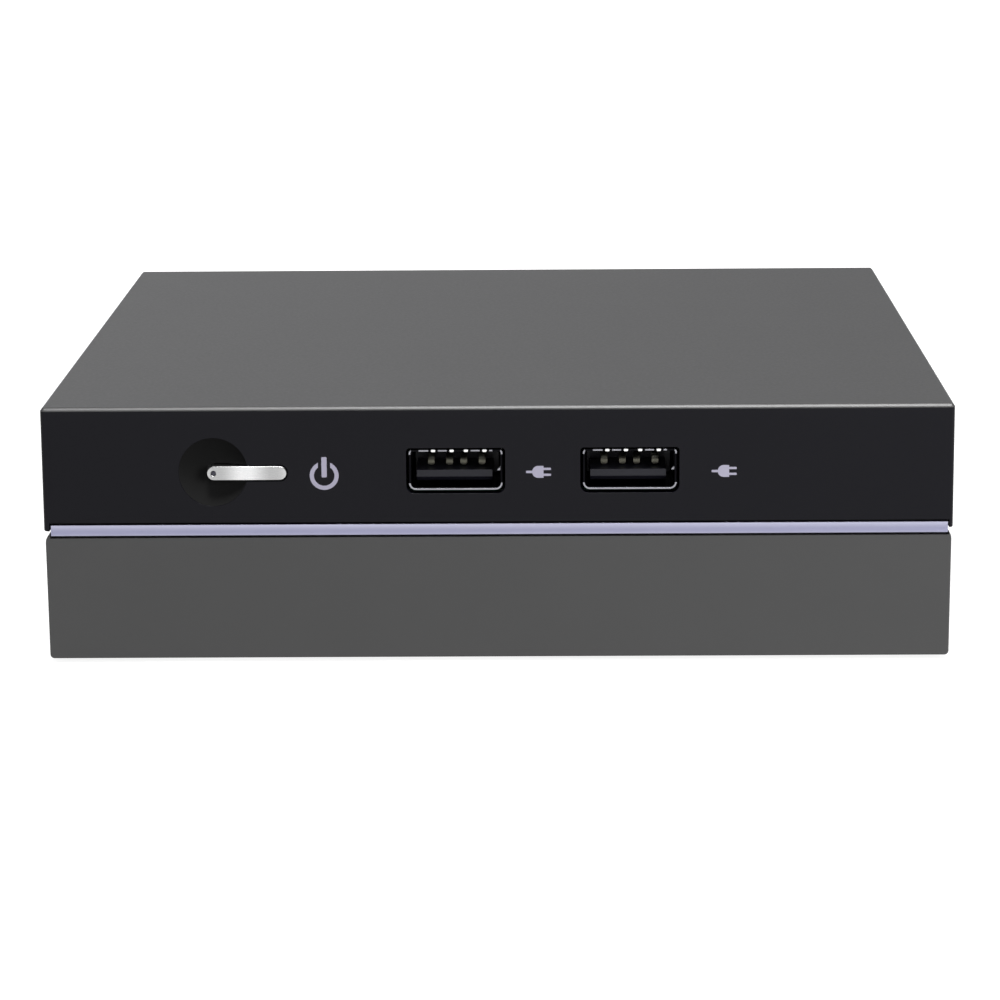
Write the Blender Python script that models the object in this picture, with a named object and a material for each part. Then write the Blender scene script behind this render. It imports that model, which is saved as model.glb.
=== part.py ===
"""Mini PC in two stacked tiers: a host unit with the board, ports and cooler, standing on a detachable drive dock.

Metres, +Z up. The origin is on the floor under the middle of the case. The front faces -Y.
Heights in this file are measured from a bench plane 0.1 mm under the floor, and place() lowers every shape by that.
Every object in the collection "mini_pc" is one sub-part. Helpers for cuts and joins are in "helpers".
"""

import math

import bmesh
import bpy
from mathutils import Matrix, Vector

X_AXIS, Y_AXIS, Z_AXIS = 0, 1, 2

# ---- Driving dimensions -------------------------------------------------------------------------
WIDTH = 0.1280
DEPTH = 0.1280
FOOT_PROUD = 0.0006
BENCH = -0.0001
DOCK_HEIGHT = 0.0185
PARTING_GAP = 0.0003
HOST_HEIGHT = 0.0175
FIT = 0.0002
TRAVEL_GAP = 0.0003

DOCK_BOTTOM = FOOT_PROUD - BENCH
DOCK_TOP = DOCK_BOTTOM + DOCK_HEIGHT
HOST_BOTTOM = DOCK_TOP + PARTING_GAP
HOST_TOP = HOST_BOTTOM + HOST_HEIGHT

# ---- Host shell ---------------------------------------------------------------------------------
HALF_WIDTH = WIDTH / 2
HALF_DEPTH = DEPTH / 2
WALL = 0.0018
CORNER_RADIUS = 0.0006
LID_RIM = 0.0006
LID_EDGE_RADIUS = 0.0005
LID_PLATE = 0.0010
FRONT_THICKNESS = 0.0020
SHELL_TOP = HOST_TOP - LID_RIM - FIT
INNER_HALF = HALF_WIDTH - WALL
BASE_THICKNESS = 0.0016
BASE_TOP = HOST_BOTTOM + BASE_THICKNESS
LID_UNDERSIDE = HOST_TOP - LID_RIM - LID_PLATE

# ---- Boards -------------------------------------------------------------------------------------
BOARD_TOP = 0.0246
BOARD_THICKNESS = 0.0016
BOARD_HALF = 0.0605
ON_BOARD = BOARD_TOP + FIT
POST_AT = 0.0575
POST_RADIUS = 0.0030
SCREW_HEAD_RADIUS = 0.0023
SCREW_HEAD_HEIGHT = 0.0013
SCREW_SHANK_RADIUS = 0.0012
SCREW_BORE_RADIUS = 0.00145
COUNTERBORE_RADIUS = 0.0026

# ---- Front controls and ports -------------------------------------------------------------------
PORT_HEIGHT = 0.02795
USB_OUTER = (0.01314, 0.0140, 0.00572)
USB_WALL = 0.0003
USB_RADIUS = 0.0010
USB_CUTOUT = (0.0139, 0.0065)
FRONT_USB_X = {"left": -0.0057, "right": 0.0187}
DISH_CENTRE = (-0.04005, 0.0278)
DISH_RADIUS = 0.0048
DISH_DEPTH = 0.0011
BUTTON_CENTRE = (-0.03516, 0.02763)
BUTTON_LENGTH = 0.01134
BUTTON_HEIGHT = 0.00216
BUTTON_SLOT_GAP = 0.00022
BUTTON_TRAVEL = 0.0005
LIGHT_X = -0.03984
LIGHT_RADIUS = 0.00036

# ---- Accent strip -------------------------------------------------------------------------------
STRIP_HALF_LENGTH = 0.0633
STRIP_BOTTOM = 0.01855
STRIP_TOP = 0.0203
STRIP_FRONT = -HALF_DEPTH + 0.00025
STRIP_THICKNESS = 0.00085

# ---- Rear ports, from the audio side to the power side ------------------------------------------
AUDIO_X = -0.0330
REAR_USB_X = {"left": -0.0200, "right": -0.0040}
NETWORK_X = 0.0132
VIDEO_X = 0.0320
POWER_X = 0.0470
PORT_FACE = HALF_DEPTH - 0.0002
NETWORK_SIZE = (0.0160, 0.0165, 0.0104)
NETWORK_CAVITY = (0.0118, 0.0125, 0.0068)
VIDEO_SIZE = (0.0148, 0.0115, 0.0056)

# ---- Cooler -------------------------------------------------------------------------------------
PROCESSOR_TOP = 0.0264
COOLER_HALF_DEPTH = 0.0210
COOLER_PLATE = (PROCESSOR_TOP + FIT, PROCESSOR_TOP + FIT + 0.0015)
FIN_X = (-0.0605, -0.0475)
FIN_COUNT = 14
FIN_THICKNESS = 0.0005
FAN_CENTRE = (-0.0230, 0.0)
FAN_HALF = 0.0230
FAN_FLOOR = COOLER_PLATE[1] + FIT
FAN_TOP = FAN_FLOOR + 0.0056
FAN_RADIUS = 0.0185
IMPELLER_RADIUS = 0.0172
IMPELLER_Z = (0.0307, 0.0336)
HUB_RADIUS = 0.0085
BLADE_COUNT = 19

# ---- Dock ---------------------------------------------------------------------------------------
DOCK_HALF = HALF_WIDTH - 0.00015
DOCK_DRAFT = 0.0001
DOCK_WALL = 0.0020
DOCK_PLATE = 0.0018
DOCK_TOP_RADIUS = 0.0015
DOCK_BOTTOM_RADIUS = 0.0006
DOCK_END_RADIUS = 0.00025
DOCK_CEILING = DOCK_TOP - DOCK_PLATE
COVER_THICKNESS = 0.0019
COVER_TOP = DOCK_BOTTOM + COVER_THICKNESS
COVER_HALF = DOCK_HALF - DOCK_WALL - TRAVEL_GAP
FOOT_AT = 0.0460
FOOT_RADIUS = 0.0050
FOOT_THICKNESS = 0.0012
DOCK_POST_AT = 0.0550
PIN_AT = ((-0.050, 0.048), (0.050, -0.048))
PIN_RADIUS = 0.0025
MAGNET_X = 0.0500
MAGNET_RADIUS = 0.0040
PLUG_Y = (0.0526, 0.0574)
PLUG_HALF = 0.0120


# ---- Scene and materials ------------------------------------------------------------------------
def clear_scene():
    for obj in list(bpy.data.objects):
        bpy.data.objects.remove(obj, do_unlink=True)


def new_collection(name):
    collection = bpy.data.collections.new(name)
    bpy.context.scene.collection.children.link(collection)
    return collection


clear_scene()
PARTS = new_collection("mini_pc")
HELPERS = new_collection("helpers")


def material(name, colour, roughness, metallic=0.0):
    made = bpy.data.materials.new(name)
    made.use_nodes = True
    shader = made.node_tree.nodes["Principled BSDF"]
    shader.inputs["Base Color"].default_value = (*colour, 1.0)
    shader.inputs["Roughness"].default_value = roughness
    shader.inputs["Metallic"].default_value = metallic
    return made


SATIN_GREY = material("satin_grey", (0.115, 0.115, 0.117), 0.45)
GLOSS_BLACK = material("gloss_black", (0.012, 0.012, 0.015), 0.12)
MATT_BLACK = material("matt_black", (0.016, 0.016, 0.017), 0.6)
LAVENDER_SILVER = material("lavender_silver", (0.50, 0.50, 0.62), 0.3, 0.9)
BRIGHT_SILVER = material("bright_silver", (0.82, 0.82, 0.83), 0.22, 1.0)
NICKEL = material("nickel", (0.45, 0.44, 0.42), 0.25, 1.0)
STEEL = material("steel", (0.40, 0.40, 0.42), 0.35, 1.0)
ALUMINIUM = material("aluminium", (0.62, 0.63, 0.65), 0.35, 1.0)
BOARD_GREEN = material("board_green", (0.01, 0.07, 0.03), 0.4)
RUBBER = material("rubber", (0.02, 0.02, 0.02), 0.85)
SMOKED_LENS = material("smoked_lens", (0.06, 0.06, 0.10), 0.1)


# ---- Shapes -------------------------------------------------------------------------------------
def place(name, bm, location, finish=None):
    """Makes the object for a finished bmesh. With a finish it is a sub-part, and without one a helper."""
    bmesh.ops.recalc_face_normals(bm, faces=bm.faces)
    mesh = bpy.data.meshes.new(name)
    bm.to_mesh(mesh)
    bm.free()
    obj = bpy.data.objects.new(name, mesh)
    obj.location = Vector(location) + Vector((0.0, 0.0, BENCH))
    if finish is None:
        HELPERS.objects.link(obj)
        obj.hide_render = True
        obj.display_type = "WIRE"
    else:
        PARTS.objects.link(obj)
        mesh.materials.append(finish)
        mesh.shade_smooth()
        mesh.set_sharp_from_angle(angle=math.radians(35))
    return obj


def edges_along(bm, axis, wanted=lambda middle: True):
    """The straight edges that run along one axis and whose middle point is wanted."""
    found = []
    for edge in bm.edges:
        run = edge.verts[1].co - edge.verts[0].co
        middle = (edge.verts[0].co + edge.verts[1].co) / 2
        if abs(run[axis]) > 0.999 * run.length and wanted(middle):
            found.append(edge)
    return found


def round_edges(bm, edges, radius, segments):
    bmesh.ops.bevel(bm, geom=edges, offset=radius, segments=segments, profile=0.5, affect="EDGES")


def box_mesh(x, y, z):
    """A box centred on its own origin, and the place of that origin."""
    centre = Vector((sum(x) / 2, sum(y) / 2, sum(z) / 2))
    size = (x[1] - x[0], y[1] - y[0], z[1] - z[0])
    bm = bmesh.new()
    bmesh.ops.create_cube(bm, size=1.0, matrix=Matrix.Diagonal((*size, 1.0)))
    return bm, centre


def box(name, x, y, z, finish=None):
    bm, centre = box_mesh(x, y, z)
    return place(name, bm, centre, finish)


def rounded_box(name, x, y, z, axis, radius, segments=3, finish=None):
    """A box with its four edges along one axis rounded."""
    bm, centre = box_mesh(x, y, z)
    round_edges(bm, edges_along(bm, axis), radius, segments)
    return place(name, bm, centre, finish)


def turned_to(axis):
    """Turns a shape made along Z to run along another axis."""
    if axis == X_AXIS:
        return Matrix.Rotation(math.radians(90), 4, "Y")
    if axis == Y_AXIS:
        return Matrix.Rotation(math.radians(-90), 4, "X")
    return Matrix.Identity(4)


def cylinder(name, centre, radius, length, axis=Z_AXIS, segments=20, finish=None, tip=None):
    """A cylinder about its centre, or a cone frustum if its far end has another radius."""
    bm = bmesh.new()
    bmesh.ops.create_cone(
        bm,
        cap_ends=True,
        segments=segments,
        radius1=radius,
        radius2=radius if tip is None else tip,
        depth=length,
        matrix=turned_to(axis),
    )
    return place(name, bm, centre, finish)


def stadium(name, centre, length, height, y_from, y_to, segments=24, finish=None):
    """A bar along Y with a round-ended outline: a cylinder whose two halves are drawn apart in X."""
    bm = bmesh.new()
    half_step = Matrix.Rotation(math.pi / segments, 4, "Y")
    bmesh.ops.create_cone(
        bm,
        cap_ends=True,
        segments=segments,
        radius1=height / 2,
        radius2=height / 2,
        depth=y_to - y_from,
        matrix=half_step @ turned_to(Y_AXIS),
    )
    for vertex in bm.verts:
        vertex.co.x += math.copysign((length - height) / 2, vertex.co.x)
    return place(name, bm, (centre[0], (y_from + y_to) / 2, centre[1]), finish)


def boolean(target, others, operation):
    """Cuts the helpers from the target, or joins them to it."""
    group = bpy.data.collections.new(f"{target.name}_{operation.lower()}")
    HELPERS.children.link(group)
    for other in others:
        HELPERS.objects.unlink(other)
        group.objects.link(other)
    modifier = target.modifiers.new(operation.lower(), "BOOLEAN")
    modifier.operation = operation
    modifier.operand_type = "COLLECTION"
    modifier.collection = group
    modifier.solver = "EXACT"
    return target


def cut(target, *cutters):
    return boolean(target, cutters, "DIFFERENCE")


def join(target, *pieces):
    return boolean(target, pieces, "UNION")


def around(value, size):
    """The two ends of a size centred on a value."""
    return (value - size / 2, value + size / 2)


def corners(distance):
    return [(x, y) for y in (-distance, distance) for x in (-distance, distance)]


def slots(name, count, pitch, middle, make):
    """A row of equal cutters; make(index name, position) builds one."""
    first = middle - pitch * (count - 1) / 2
    return [make(f"{name}_{i}", first + i * pitch) for i in range(count)]


# ---- Host shell parts ---------------------------------------------------------------------------
def top_cover():
    """Lid plate with a softened rim and four bosses that take the long base screws."""
    bm, centre = box_mesh((-HALF_WIDTH, HALF_WIDTH), (-HALF_DEPTH, HALF_DEPTH), (HOST_TOP - LID_RIM, HOST_TOP))
    round_edges(bm, edges_along(bm, Z_AXIS), CORNER_RADIUS, 3)
    top = [e for e in bm.edges if all(v.co.z > 0 for v in e.verts)]
    round_edges(bm, top, LID_EDGE_RADIUS, 3)
    lid = place("top_cover", bm, centre, SATIN_GREY)
    inner = INNER_HALF - TRAVEL_GAP
    plate = box("lid_plate", (-inner, inner), (-inner, inner), (LID_UNDERSIDE, HOST_TOP - LID_RIM / 2))
    boss_bottom = BOARD_TOP + FIT
    boss_top = LID_UNDERSIDE + LID_PLATE / 2
    bosses = [
        cylinder(f"lid_boss_{i}", (x, y, (boss_bottom + boss_top) / 2), POST_RADIUS, boss_top - boss_bottom)
        for i, (x, y) in enumerate(corners(POST_AT))
    ]
    join(lid, plate, *bosses)
    bore_top = boss_bottom + 0.0065
    bores = [
        cylinder(f"lid_bore_{i}", (x, y, bore_top - 0.004), SCREW_BORE_RADIUS, 0.008, segments=12)
        for i, (x, y) in enumerate(corners(POST_AT))
    ]
    return cut(lid, *bores)


def front_panel():
    """Gloss front plate with the finger dish, the button slot, two port cut-outs and the strip's rebate."""
    back = -HALF_DEPTH + FRONT_THICKNESS
    bm, centre = box_mesh((-HALF_WIDTH, HALF_WIDTH), (-HALF_DEPTH, back), (HOST_BOTTOM, SHELL_TOP))
    round_edges(bm, edges_along(bm, Z_AXIS, lambda middle: middle.y < 0), CORNER_RADIUS, 3)
    panel = place("front_panel", bm, centre, GLOSS_BLACK)
    tabs = [box(f"front_tab_{i}", around(x, 0.008), (back - 0.0005, back + 0.004), (0.0325, 0.0340))
            for i, x in enumerate((-0.050, 0.050))]
    join(panel, *tabs)

    sphere_radius = (DISH_RADIUS**2 + DISH_DEPTH**2) / (2 * DISH_DEPTH)
    bm = bmesh.new()
    bmesh.ops.create_uvsphere(bm, u_segments=32, v_segments=28, radius=sphere_radius, matrix=turned_to(Y_AXIS))
    dish_y = -HALF_DEPTH + DISH_DEPTH - sphere_radius
    dish = place("finger_dish", bm, (DISH_CENTRE[0], dish_y, DISH_CENTRE[1]))

    gap = 2 * BUTTON_SLOT_GAP
    slot = stadium("button_slot", BUTTON_CENTRE, BUTTON_LENGTH + gap, BUTTON_HEIGHT + gap, -0.066, -0.061)
    ports = [
        rounded_box(f"front_port_{side}", around(x, USB_CUTOUT[0]), (-0.066, -0.060),
                    around(PORT_HEIGHT - 0.0001, USB_CUTOUT[1]), Y_AXIS, 0.0012)
        for side, x in FRONT_USB_X.items()
    ]
    rebate = box("strip_rebate", (-STRIP_HALF_LENGTH - 0.00015, STRIP_HALF_LENGTH + 0.00015),
                 (-0.0650, STRIP_FRONT + STRIP_THICKNESS + TRAVEL_GAP), (0.0190, STRIP_TOP + 0.0001))
    return cut(panel, dish, slot, rebate, *ports)


def host_frame():
    """Side and rear walls in one U, with vents in both sides and the port openings at the rear."""
    front = -HALF_DEPTH + FRONT_THICKNESS + TRAVEL_GAP
    bm, centre = box_mesh((-HALF_WIDTH, HALF_WIDTH), (front, HALF_DEPTH), (HOST_BOTTOM, SHELL_TOP))
    round_edges(bm, edges_along(bm, Z_AXIS, lambda middle: middle.y > 0), CORNER_RADIUS, 3)
    frame = place("host_frame", bm, centre, MATT_BLACK)
    inside = box("frame_inside", (-INNER_HALF, INNER_HALF), (-0.070, INNER_HALF), (0.010, 0.050))

    def side_vent(name, y):
        return rounded_box(name, (-0.070, 0.070), around(y, 0.0016), (0.0245, 0.0335), X_AXIS, 0.0006, 2)

    def rear_vent(name, x):
        return rounded_box(name, around(x, 0.0016), (0.060, 0.070), (0.0245, 0.0335), Y_AXIS, 0.0006, 2)

    vents = slots("side_vent", 16, 0.0030, 0.0, side_vent) + slots("rear_vent", 6, 0.0030, -0.0485, rear_vent)
    wall = (0.060, 0.070)
    ports = [
        rounded_box(f"rear_port_{side}", around(x, USB_CUTOUT[0]), wall,
                    around(PORT_HEIGHT, USB_CUTOUT[1]), Y_AXIS, 0.0012)
        for side, x in REAR_USB_X.items()
    ]
    ports.append(box("network_port", around(NETWORK_X, NETWORK_SIZE[0] + 0.0006), wall,
                     (BOARD_TOP, BOARD_TOP + NETWORK_SIZE[2] + 0.0006)))
    ports.append(rounded_box("video_port", around(VIDEO_X, 0.0156), wall,
                             around(PORT_HEIGHT, 0.0064), Y_AXIS, 0.0010, 2))
    ports.append(cylinder("audio_port", (AUDIO_X, 0.065, PORT_HEIGHT), 0.0032, 0.010, Y_AXIS))
    ports.append(cylinder("power_port", (POWER_X, 0.065, 0.0298), 0.0040, 0.010, Y_AXIS, 24))
    return cut(frame, inside, *vents, *ports)


def host_base():
    """Bottom tray of the host: screw posts, vents, and the openings that meet the dock."""
    inner = INNER_HALF - TRAVEL_GAP
    front = -HALF_DEPTH + FRONT_THICKNESS + TRAVEL_GAP
    base = box("host_base", (-inner, inner), (front, inner), (HOST_BOTTOM, BASE_TOP), MATT_BLACK)
    post_top = BOARD_TOP - BOARD_THICKNESS - FIT
    post_bottom = BASE_TOP - 0.0005
    posts = [
        cylinder(f"base_post_{i}", (x, y, (post_bottom + post_top) / 2), 0.0036, post_top - post_bottom)
        for i, (x, y) in enumerate(corners(POST_AT))
    ]
    join(base, *posts)
    cutters = []
    for i, (x, y) in enumerate(corners(POST_AT)):
        cutters.append(cylinder(f"base_counterbore_{i}", (x, y, 0.0203), COUNTERBORE_RADIUS, 0.0020))
        cutters.append(cylinder(f"base_hole_{i}", (x, y, 0.0220), SCREW_BORE_RADIUS, 0.0040, segments=12))
    for i, (x, y) in enumerate(PIN_AT):
        cutters.append(cylinder(f"pin_socket_{i}", (x, y, 0.0200), PIN_RADIUS + TRAVEL_GAP, 0.0040, segments=16))
    for i, x in enumerate((-MAGNET_X, MAGNET_X)):
        cutters.append(cylinder(f"base_magnet_pocket_{i}", (x, 0.0, HOST_BOTTOM), MAGNET_RADIUS + TRAVEL_GAP, 0.0024))
    cutters.append(rounded_box("socket_opening", (-PLUG_HALF - 0.0006, PLUG_HALF + 0.0006),
                               (PLUG_Y[0] - 0.0006, PLUG_Y[1] + 0.0006), (0.0190, 0.0220), Z_AXIS, 0.0008, 2))

    def intake(name, y):
        return box(name, (-0.030, 0.030), around(y, 0.0016), (0.0190, 0.0220))

    cutters += slots("base_intake", 13, 0.0040, -0.0060, intake)
    return cut(base, *cutters)


def accent_strip():
    """Metal bar inlaid over the parting line, with softened front edges."""
    bm, centre = box_mesh((-STRIP_HALF_LENGTH, STRIP_HALF_LENGTH), (STRIP_FRONT, STRIP_FRONT + STRIP_THICKNESS),
                          (STRIP_BOTTOM, STRIP_TOP))
    round_edges(bm, edges_along(bm, X_AXIS, lambda middle: middle.y < 0), 0.00022, 2)
    return place("accent_strip", bm, centre, LAVENDER_SILVER)


# ---- Ports --------------------------------------------------------------------------------------
def usb_shell(name, x, front, facing):
    """Folded metal shell of a socket. facing is 1 where its mouth looks to -Y and -1 where it looks to +Y."""
    width, length, height = USB_OUTER
    bm, _ = box_mesh(around(0.0, width), (0.0, length), around(0.0, height))
    bmesh.ops.translate(bm, verts=bm.verts, vec=(0.0, length / 2, 0.0))
    round_edges(bm, edges_along(bm, Y_AXIS), USB_RADIUS, 3)
    shell = place(name, bm, (x, front, PORT_HEIGHT), NICKEL)
    hollow = rounded_box(f"{name}_hollow", around(x, width - 2 * USB_WALL),
                         sorted((front - facing * 0.001, front + facing * (length - USB_WALL))),
                         around(PORT_HEIGHT, height - 2 * USB_WALL), Y_AXIS, USB_RADIUS - USB_WALL)
    if facing < 0:
        shell.rotation_euler.z = math.pi
    return cut(shell, hollow)


def usb_tongue(name, x, front, facing):
    """Plastic tongue and its block at the back of the socket; the tip's lower edge is chamfered."""
    inset, length, block = 0.0016, USB_OUTER[1] - 0.0005, 0.0040
    low, high = 0.02595 - PORT_HEIGHT, 0.02765 - PORT_HEIGHT
    bm = bmesh.new()
    middle = Vector((0.0, (inset + length) / 2, (low + high) / 2))
    size = Matrix.Diagonal((0.0110, length - inset, high - low, 1.0))
    bmesh.ops.create_cube(bm, size=1.0, matrix=Matrix.Translation(middle) @ size)
    tip = edges_along(bm, X_AXIS, lambda m: m.y < middle.y and m.z < middle.z)
    bmesh.ops.bevel(bm, geom=tip, offset=0.0007, segments=1, affect="EDGES")
    tongue = place(name, bm, (x, front, PORT_HEIGHT), MATT_BLACK)
    if facing < 0:
        tongue.rotation_euler.z = math.pi
    backing = box(f"{name}_block", around(x, 0.0119),
                  sorted((front + facing * (length - block), front + facing * (length - 0.0001))),
                  around(PORT_HEIGHT, 0.0046))
    return join(tongue, backing)


def usb_port(name, x, front, facing):
    usb_shell(f"{name}_shell", x, front, facing)
    usb_tongue(f"{name}_tongue", x, front, facing)


def video_port():
    """Digital video socket: a shell with two chamfered lower corners round a flat tongue."""
    width, length, height = VIDEO_SIZE
    back = PORT_FACE - length
    for name, inset, finish in (("video_shell", 0.0, NICKEL), ("video_hollow", 0.0004, None)):
        y = (back, PORT_FACE) if finish else (back + inset, PORT_FACE + 0.001)
        bm, centre = box_mesh(around(VIDEO_X, width - 2 * inset), y, around(PORT_HEIGHT, height - 2 * inset))
        lower = edges_along(bm, Y_AXIS, lambda middle: middle.z < 0)
        bmesh.ops.bevel(bm, geom=lower, offset=0.0016, segments=1, affect="EDGES")
        upper = edges_along(bm, Y_AXIS, lambda middle: middle.z > 0.002)
        round_edges(bm, upper, 0.0006, 2)
        if finish:
            shell = place(name, bm, centre, finish)
        else:
            hollow = place(name, bm, centre)
    cut(shell, hollow)
    tongue = box("video_tongue", around(VIDEO_X, 0.0112), (back + 0.0007, PORT_FACE - 0.0012),
                 (PORT_HEIGHT - 0.0001, PORT_HEIGHT + 0.0009), MATT_BLACK)
    backing = box("video_block", around(VIDEO_X, 0.0112), (back + 0.0008, back + 0.0030),
                  around(PORT_HEIGHT + 0.0002, 0.0036))
    join(tongue, backing)


def network_jack():
    """Network socket with the latch notch below the plug's opening."""
    width, length, height = NETWORK_SIZE
    low = ON_BOARD + 0.0001
    jack = box("network_jack", around(NETWORK_X, width), (PORT_FACE - length, PORT_FACE), (low, low + height), NICKEL)
    cavity_top = low + height - 0.0010
    mouth = (PORT_FACE - NETWORK_CAVITY[1], PORT_FACE + 0.001)
    cavity = box("network_cavity", around(NETWORK_X, NETWORK_CAVITY[0]), mouth,
                 (cavity_top - NETWORK_CAVITY[2], cavity_top))
    notch = box("network_notch", around(NETWORK_X, 0.0062), mouth,
                (cavity_top - NETWORK_CAVITY[2] - 0.0014, cavity_top - NETWORK_CAVITY[2] + 0.0002))
    return cut(jack, cavity, notch)


def audio_jack():
    jack = box("audio_jack", around(AUDIO_X, 0.0064), (0.0495, 0.0612), (ON_BOARD, 0.0305), MATT_BLACK)
    join(jack, cylinder("audio_collar", (AUDIO_X, 0.0622, PORT_HEIGHT), 0.0029, 0.0032, Y_AXIS))
    return cut(jack, cylinder("audio_bore", (AUDIO_X, 0.0600, PORT_HEIGHT), 0.0018, 0.0160, Y_AXIS, 16))


def power_jack():
    """Barrel power socket: a block with a round nose, and a centre pin in its bore."""
    height = 0.0298
    jack = box("power_jack", around(POWER_X, 0.0090), (0.0490, 0.0618), (ON_BOARD, 0.0346), MATT_BLACK)
    join(jack, cylinder("power_nose", (POWER_X, 0.0626, height), 0.0037, 0.0024, Y_AXIS, 24))
    cut(jack, cylinder("power_bore", (POWER_X, 0.0600, height), 0.0029, 0.0130, Y_AXIS, 24))
    pin = cylinder("power_pin", (POWER_X, 0.0575, height), 0.00105, 0.0090, Y_AXIS, 12)
    return join(jack, pin)


# ---- Power button and its switch ----------------------------------------------------------------
def power_button():
    """Pill-shaped bar on a retaining flange, with a stem to the switch and a hole for the light guide."""
    x, z = BUTTON_CENTRE
    bar = stadium("power_button", BUTTON_CENTRE, BUTTON_LENGTH, BUTTON_HEIGHT, -0.0641, -0.0612, finish=BRIGHT_SILVER)
    flange = stadium("button_flange", BUTTON_CENTRE, 0.0136, 0.0042, -0.0617, -0.0609)
    stem = cylinder("button_stem", (x, -0.0596, z), 0.0012, 0.0030, Y_AXIS, 16)
    join(bar, flange, stem)
    return cut(bar, cylinder("light_hole", (LIGHT_X, -0.0625, z), LIGHT_RADIUS + 0.0001, 0.0050, Y_AXIS, 16))


def status_light():
    return cylinder("status_light", (LIGHT_X, -0.06235, BUTTON_CENTRE[1]), LIGHT_RADIUS, 0.0033, Y_AXIS, 16,
                    SMOKED_LENS)


def power_switch():
    """Upright switch behind the button, with room in its bore for the plunger's travel."""
    x, z = BUTTON_CENTRE
    plunger_back = -0.0554
    switch = box("power_switch", around(x, 0.0064), (-0.0566, -0.0530), (ON_BOARD, 0.0294), MATT_BLACK)
    bore_back = plunger_back + BUTTON_TRAVEL + TRAVEL_GAP
    cut(switch, box("plunger_bore", around(x, 0.0030), (-0.0570, bore_back), around(z, 0.0020)))
    box("switch_plunger", around(x, 0.0024), (-0.0579, plunger_back), around(z, 0.0014), STEEL)


# ---- Board and what stands on it ----------------------------------------------------------------
def motherboard():
    board = box("motherboard", (-BOARD_HALF, BOARD_HALF), (-0.0610, 0.0610),
                (BOARD_TOP - BOARD_THICKNESS, BOARD_TOP), BOARD_GREEN)
    middle = BOARD_TOP - BOARD_THICKNESS / 2
    holes = [
        cylinder(f"board_hole_{i}", (x, y, middle), 0.0016, 0.0030, segments=12)
        for i, (x, y) in enumerate(corners(POST_AT))
    ]
    return cut(board, *holes)


def processor():
    package = box("processor", (0.0035, 0.0265), (-0.0120, 0.0120), (ON_BOARD, 0.0258), MATT_BLACK)
    return join(package, box("processor_die", (0.0090, 0.0210), (-0.0060, 0.0060), (0.0256, PROCESSOR_TOP)))


def heatsink():
    """Spreader plate over the processor, with a fin stack at the side vents."""
    y = (-COOLER_HALF_DEPTH, COOLER_HALF_DEPTH)
    plate = box("heatsink", (FIN_X[0], 0.0280), y, COOLER_PLATE, ALUMINIUM)
    pitch = (2 * COOLER_HALF_DEPTH - 2 * FIN_THICKNESS) / (FIN_COUNT - 1)

    def fin(name, at):
        return box(name, (FIN_X[0] + 0.0001, FIN_X[1]), around(at, FIN_THICKNESS), (COOLER_PLATE[1] - 0.0004, 0.0346))

    return join(plate, *slots("fin", FIN_COUNT, pitch, 0.0, fin))


def fan_housing():
    """Open-topped volute with an outlet to the fins and a post for the impeller's motor."""
    x, y = FAN_CENTRE
    housing = rounded_box("fan_housing", around(x, 2 * FAN_HALF), around(y, 2 * COOLER_HALF_DEPTH),
                          (FAN_FLOOR, FAN_TOP), Z_AXIS, 0.0030, 3, MATT_BLACK)
    floor = FAN_FLOOR + 0.0008
    chamber = cylinder("fan_chamber", (x, y, floor + 0.005), FAN_RADIUS, 0.010, segments=40)
    outlet = box("fan_outlet", (x - 0.030, x), (y - FAN_RADIUS + 0.0002, y + 0.0100), (floor, floor + 0.010))
    cut(housing, chamber, outlet)
    return join(housing, cylinder("motor_post", (x, y, floor + 0.0003), 0.0050, 0.0012))


def fan_cover():
    x, y = FAN_CENTRE
    cover = rounded_box("fan_cover", around(x, 2 * FAN_HALF), around(y, 2 * COOLER_HALF_DEPTH),
                        (FAN_TOP + FIT, FAN_TOP + FIT + 0.0005), Z_AXIS, 0.0030, 3, STEEL)
    return cut(cover, cylinder("fan_intake", (x, y, FAN_TOP), 0.0130, 0.0030, segments=32))


def fan_impeller():
    """Hub with swept blades. Its origin is on the spin axis."""
    x, y = FAN_CENTRE
    low, high = IMPELLER_Z
    hub = cylinder("fan_impeller", (x, y, (low + high) / 2), HUB_RADIUS, high - low, segments=36, finish=MATT_BLACK)
    blades = []
    sweep = math.radians(32)
    for i in range(BLADE_COUNT):
        turn = 2 * math.pi * i / BLADE_COUNT
        root = Vector((math.cos(turn), math.sin(turn), 0.0)) * (HUB_RADIUS - 0.0004)
        run = Vector((math.cos(turn + sweep), math.sin(turn + sweep), 0.0))
        reach = math.sqrt(IMPELLER_RADIUS**2 - (root.length * math.sin(sweep)) ** 2) - root.length * math.cos(sweep)
        bm = bmesh.new()
        size = Matrix.Diagonal((reach, 0.0005, high - low - 0.0004, 1.0))
        bmesh.ops.create_cube(bm, size=1.0, matrix=Matrix.Rotation(turn + sweep, 4, "Z") @ size)
        middle = root + run * reach / 2
        blades.append(place(f"blade_{i}", bm, (x + middle.x, y + middle.y, (low + high) / 2)))
    return join(hub, *blades)


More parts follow.
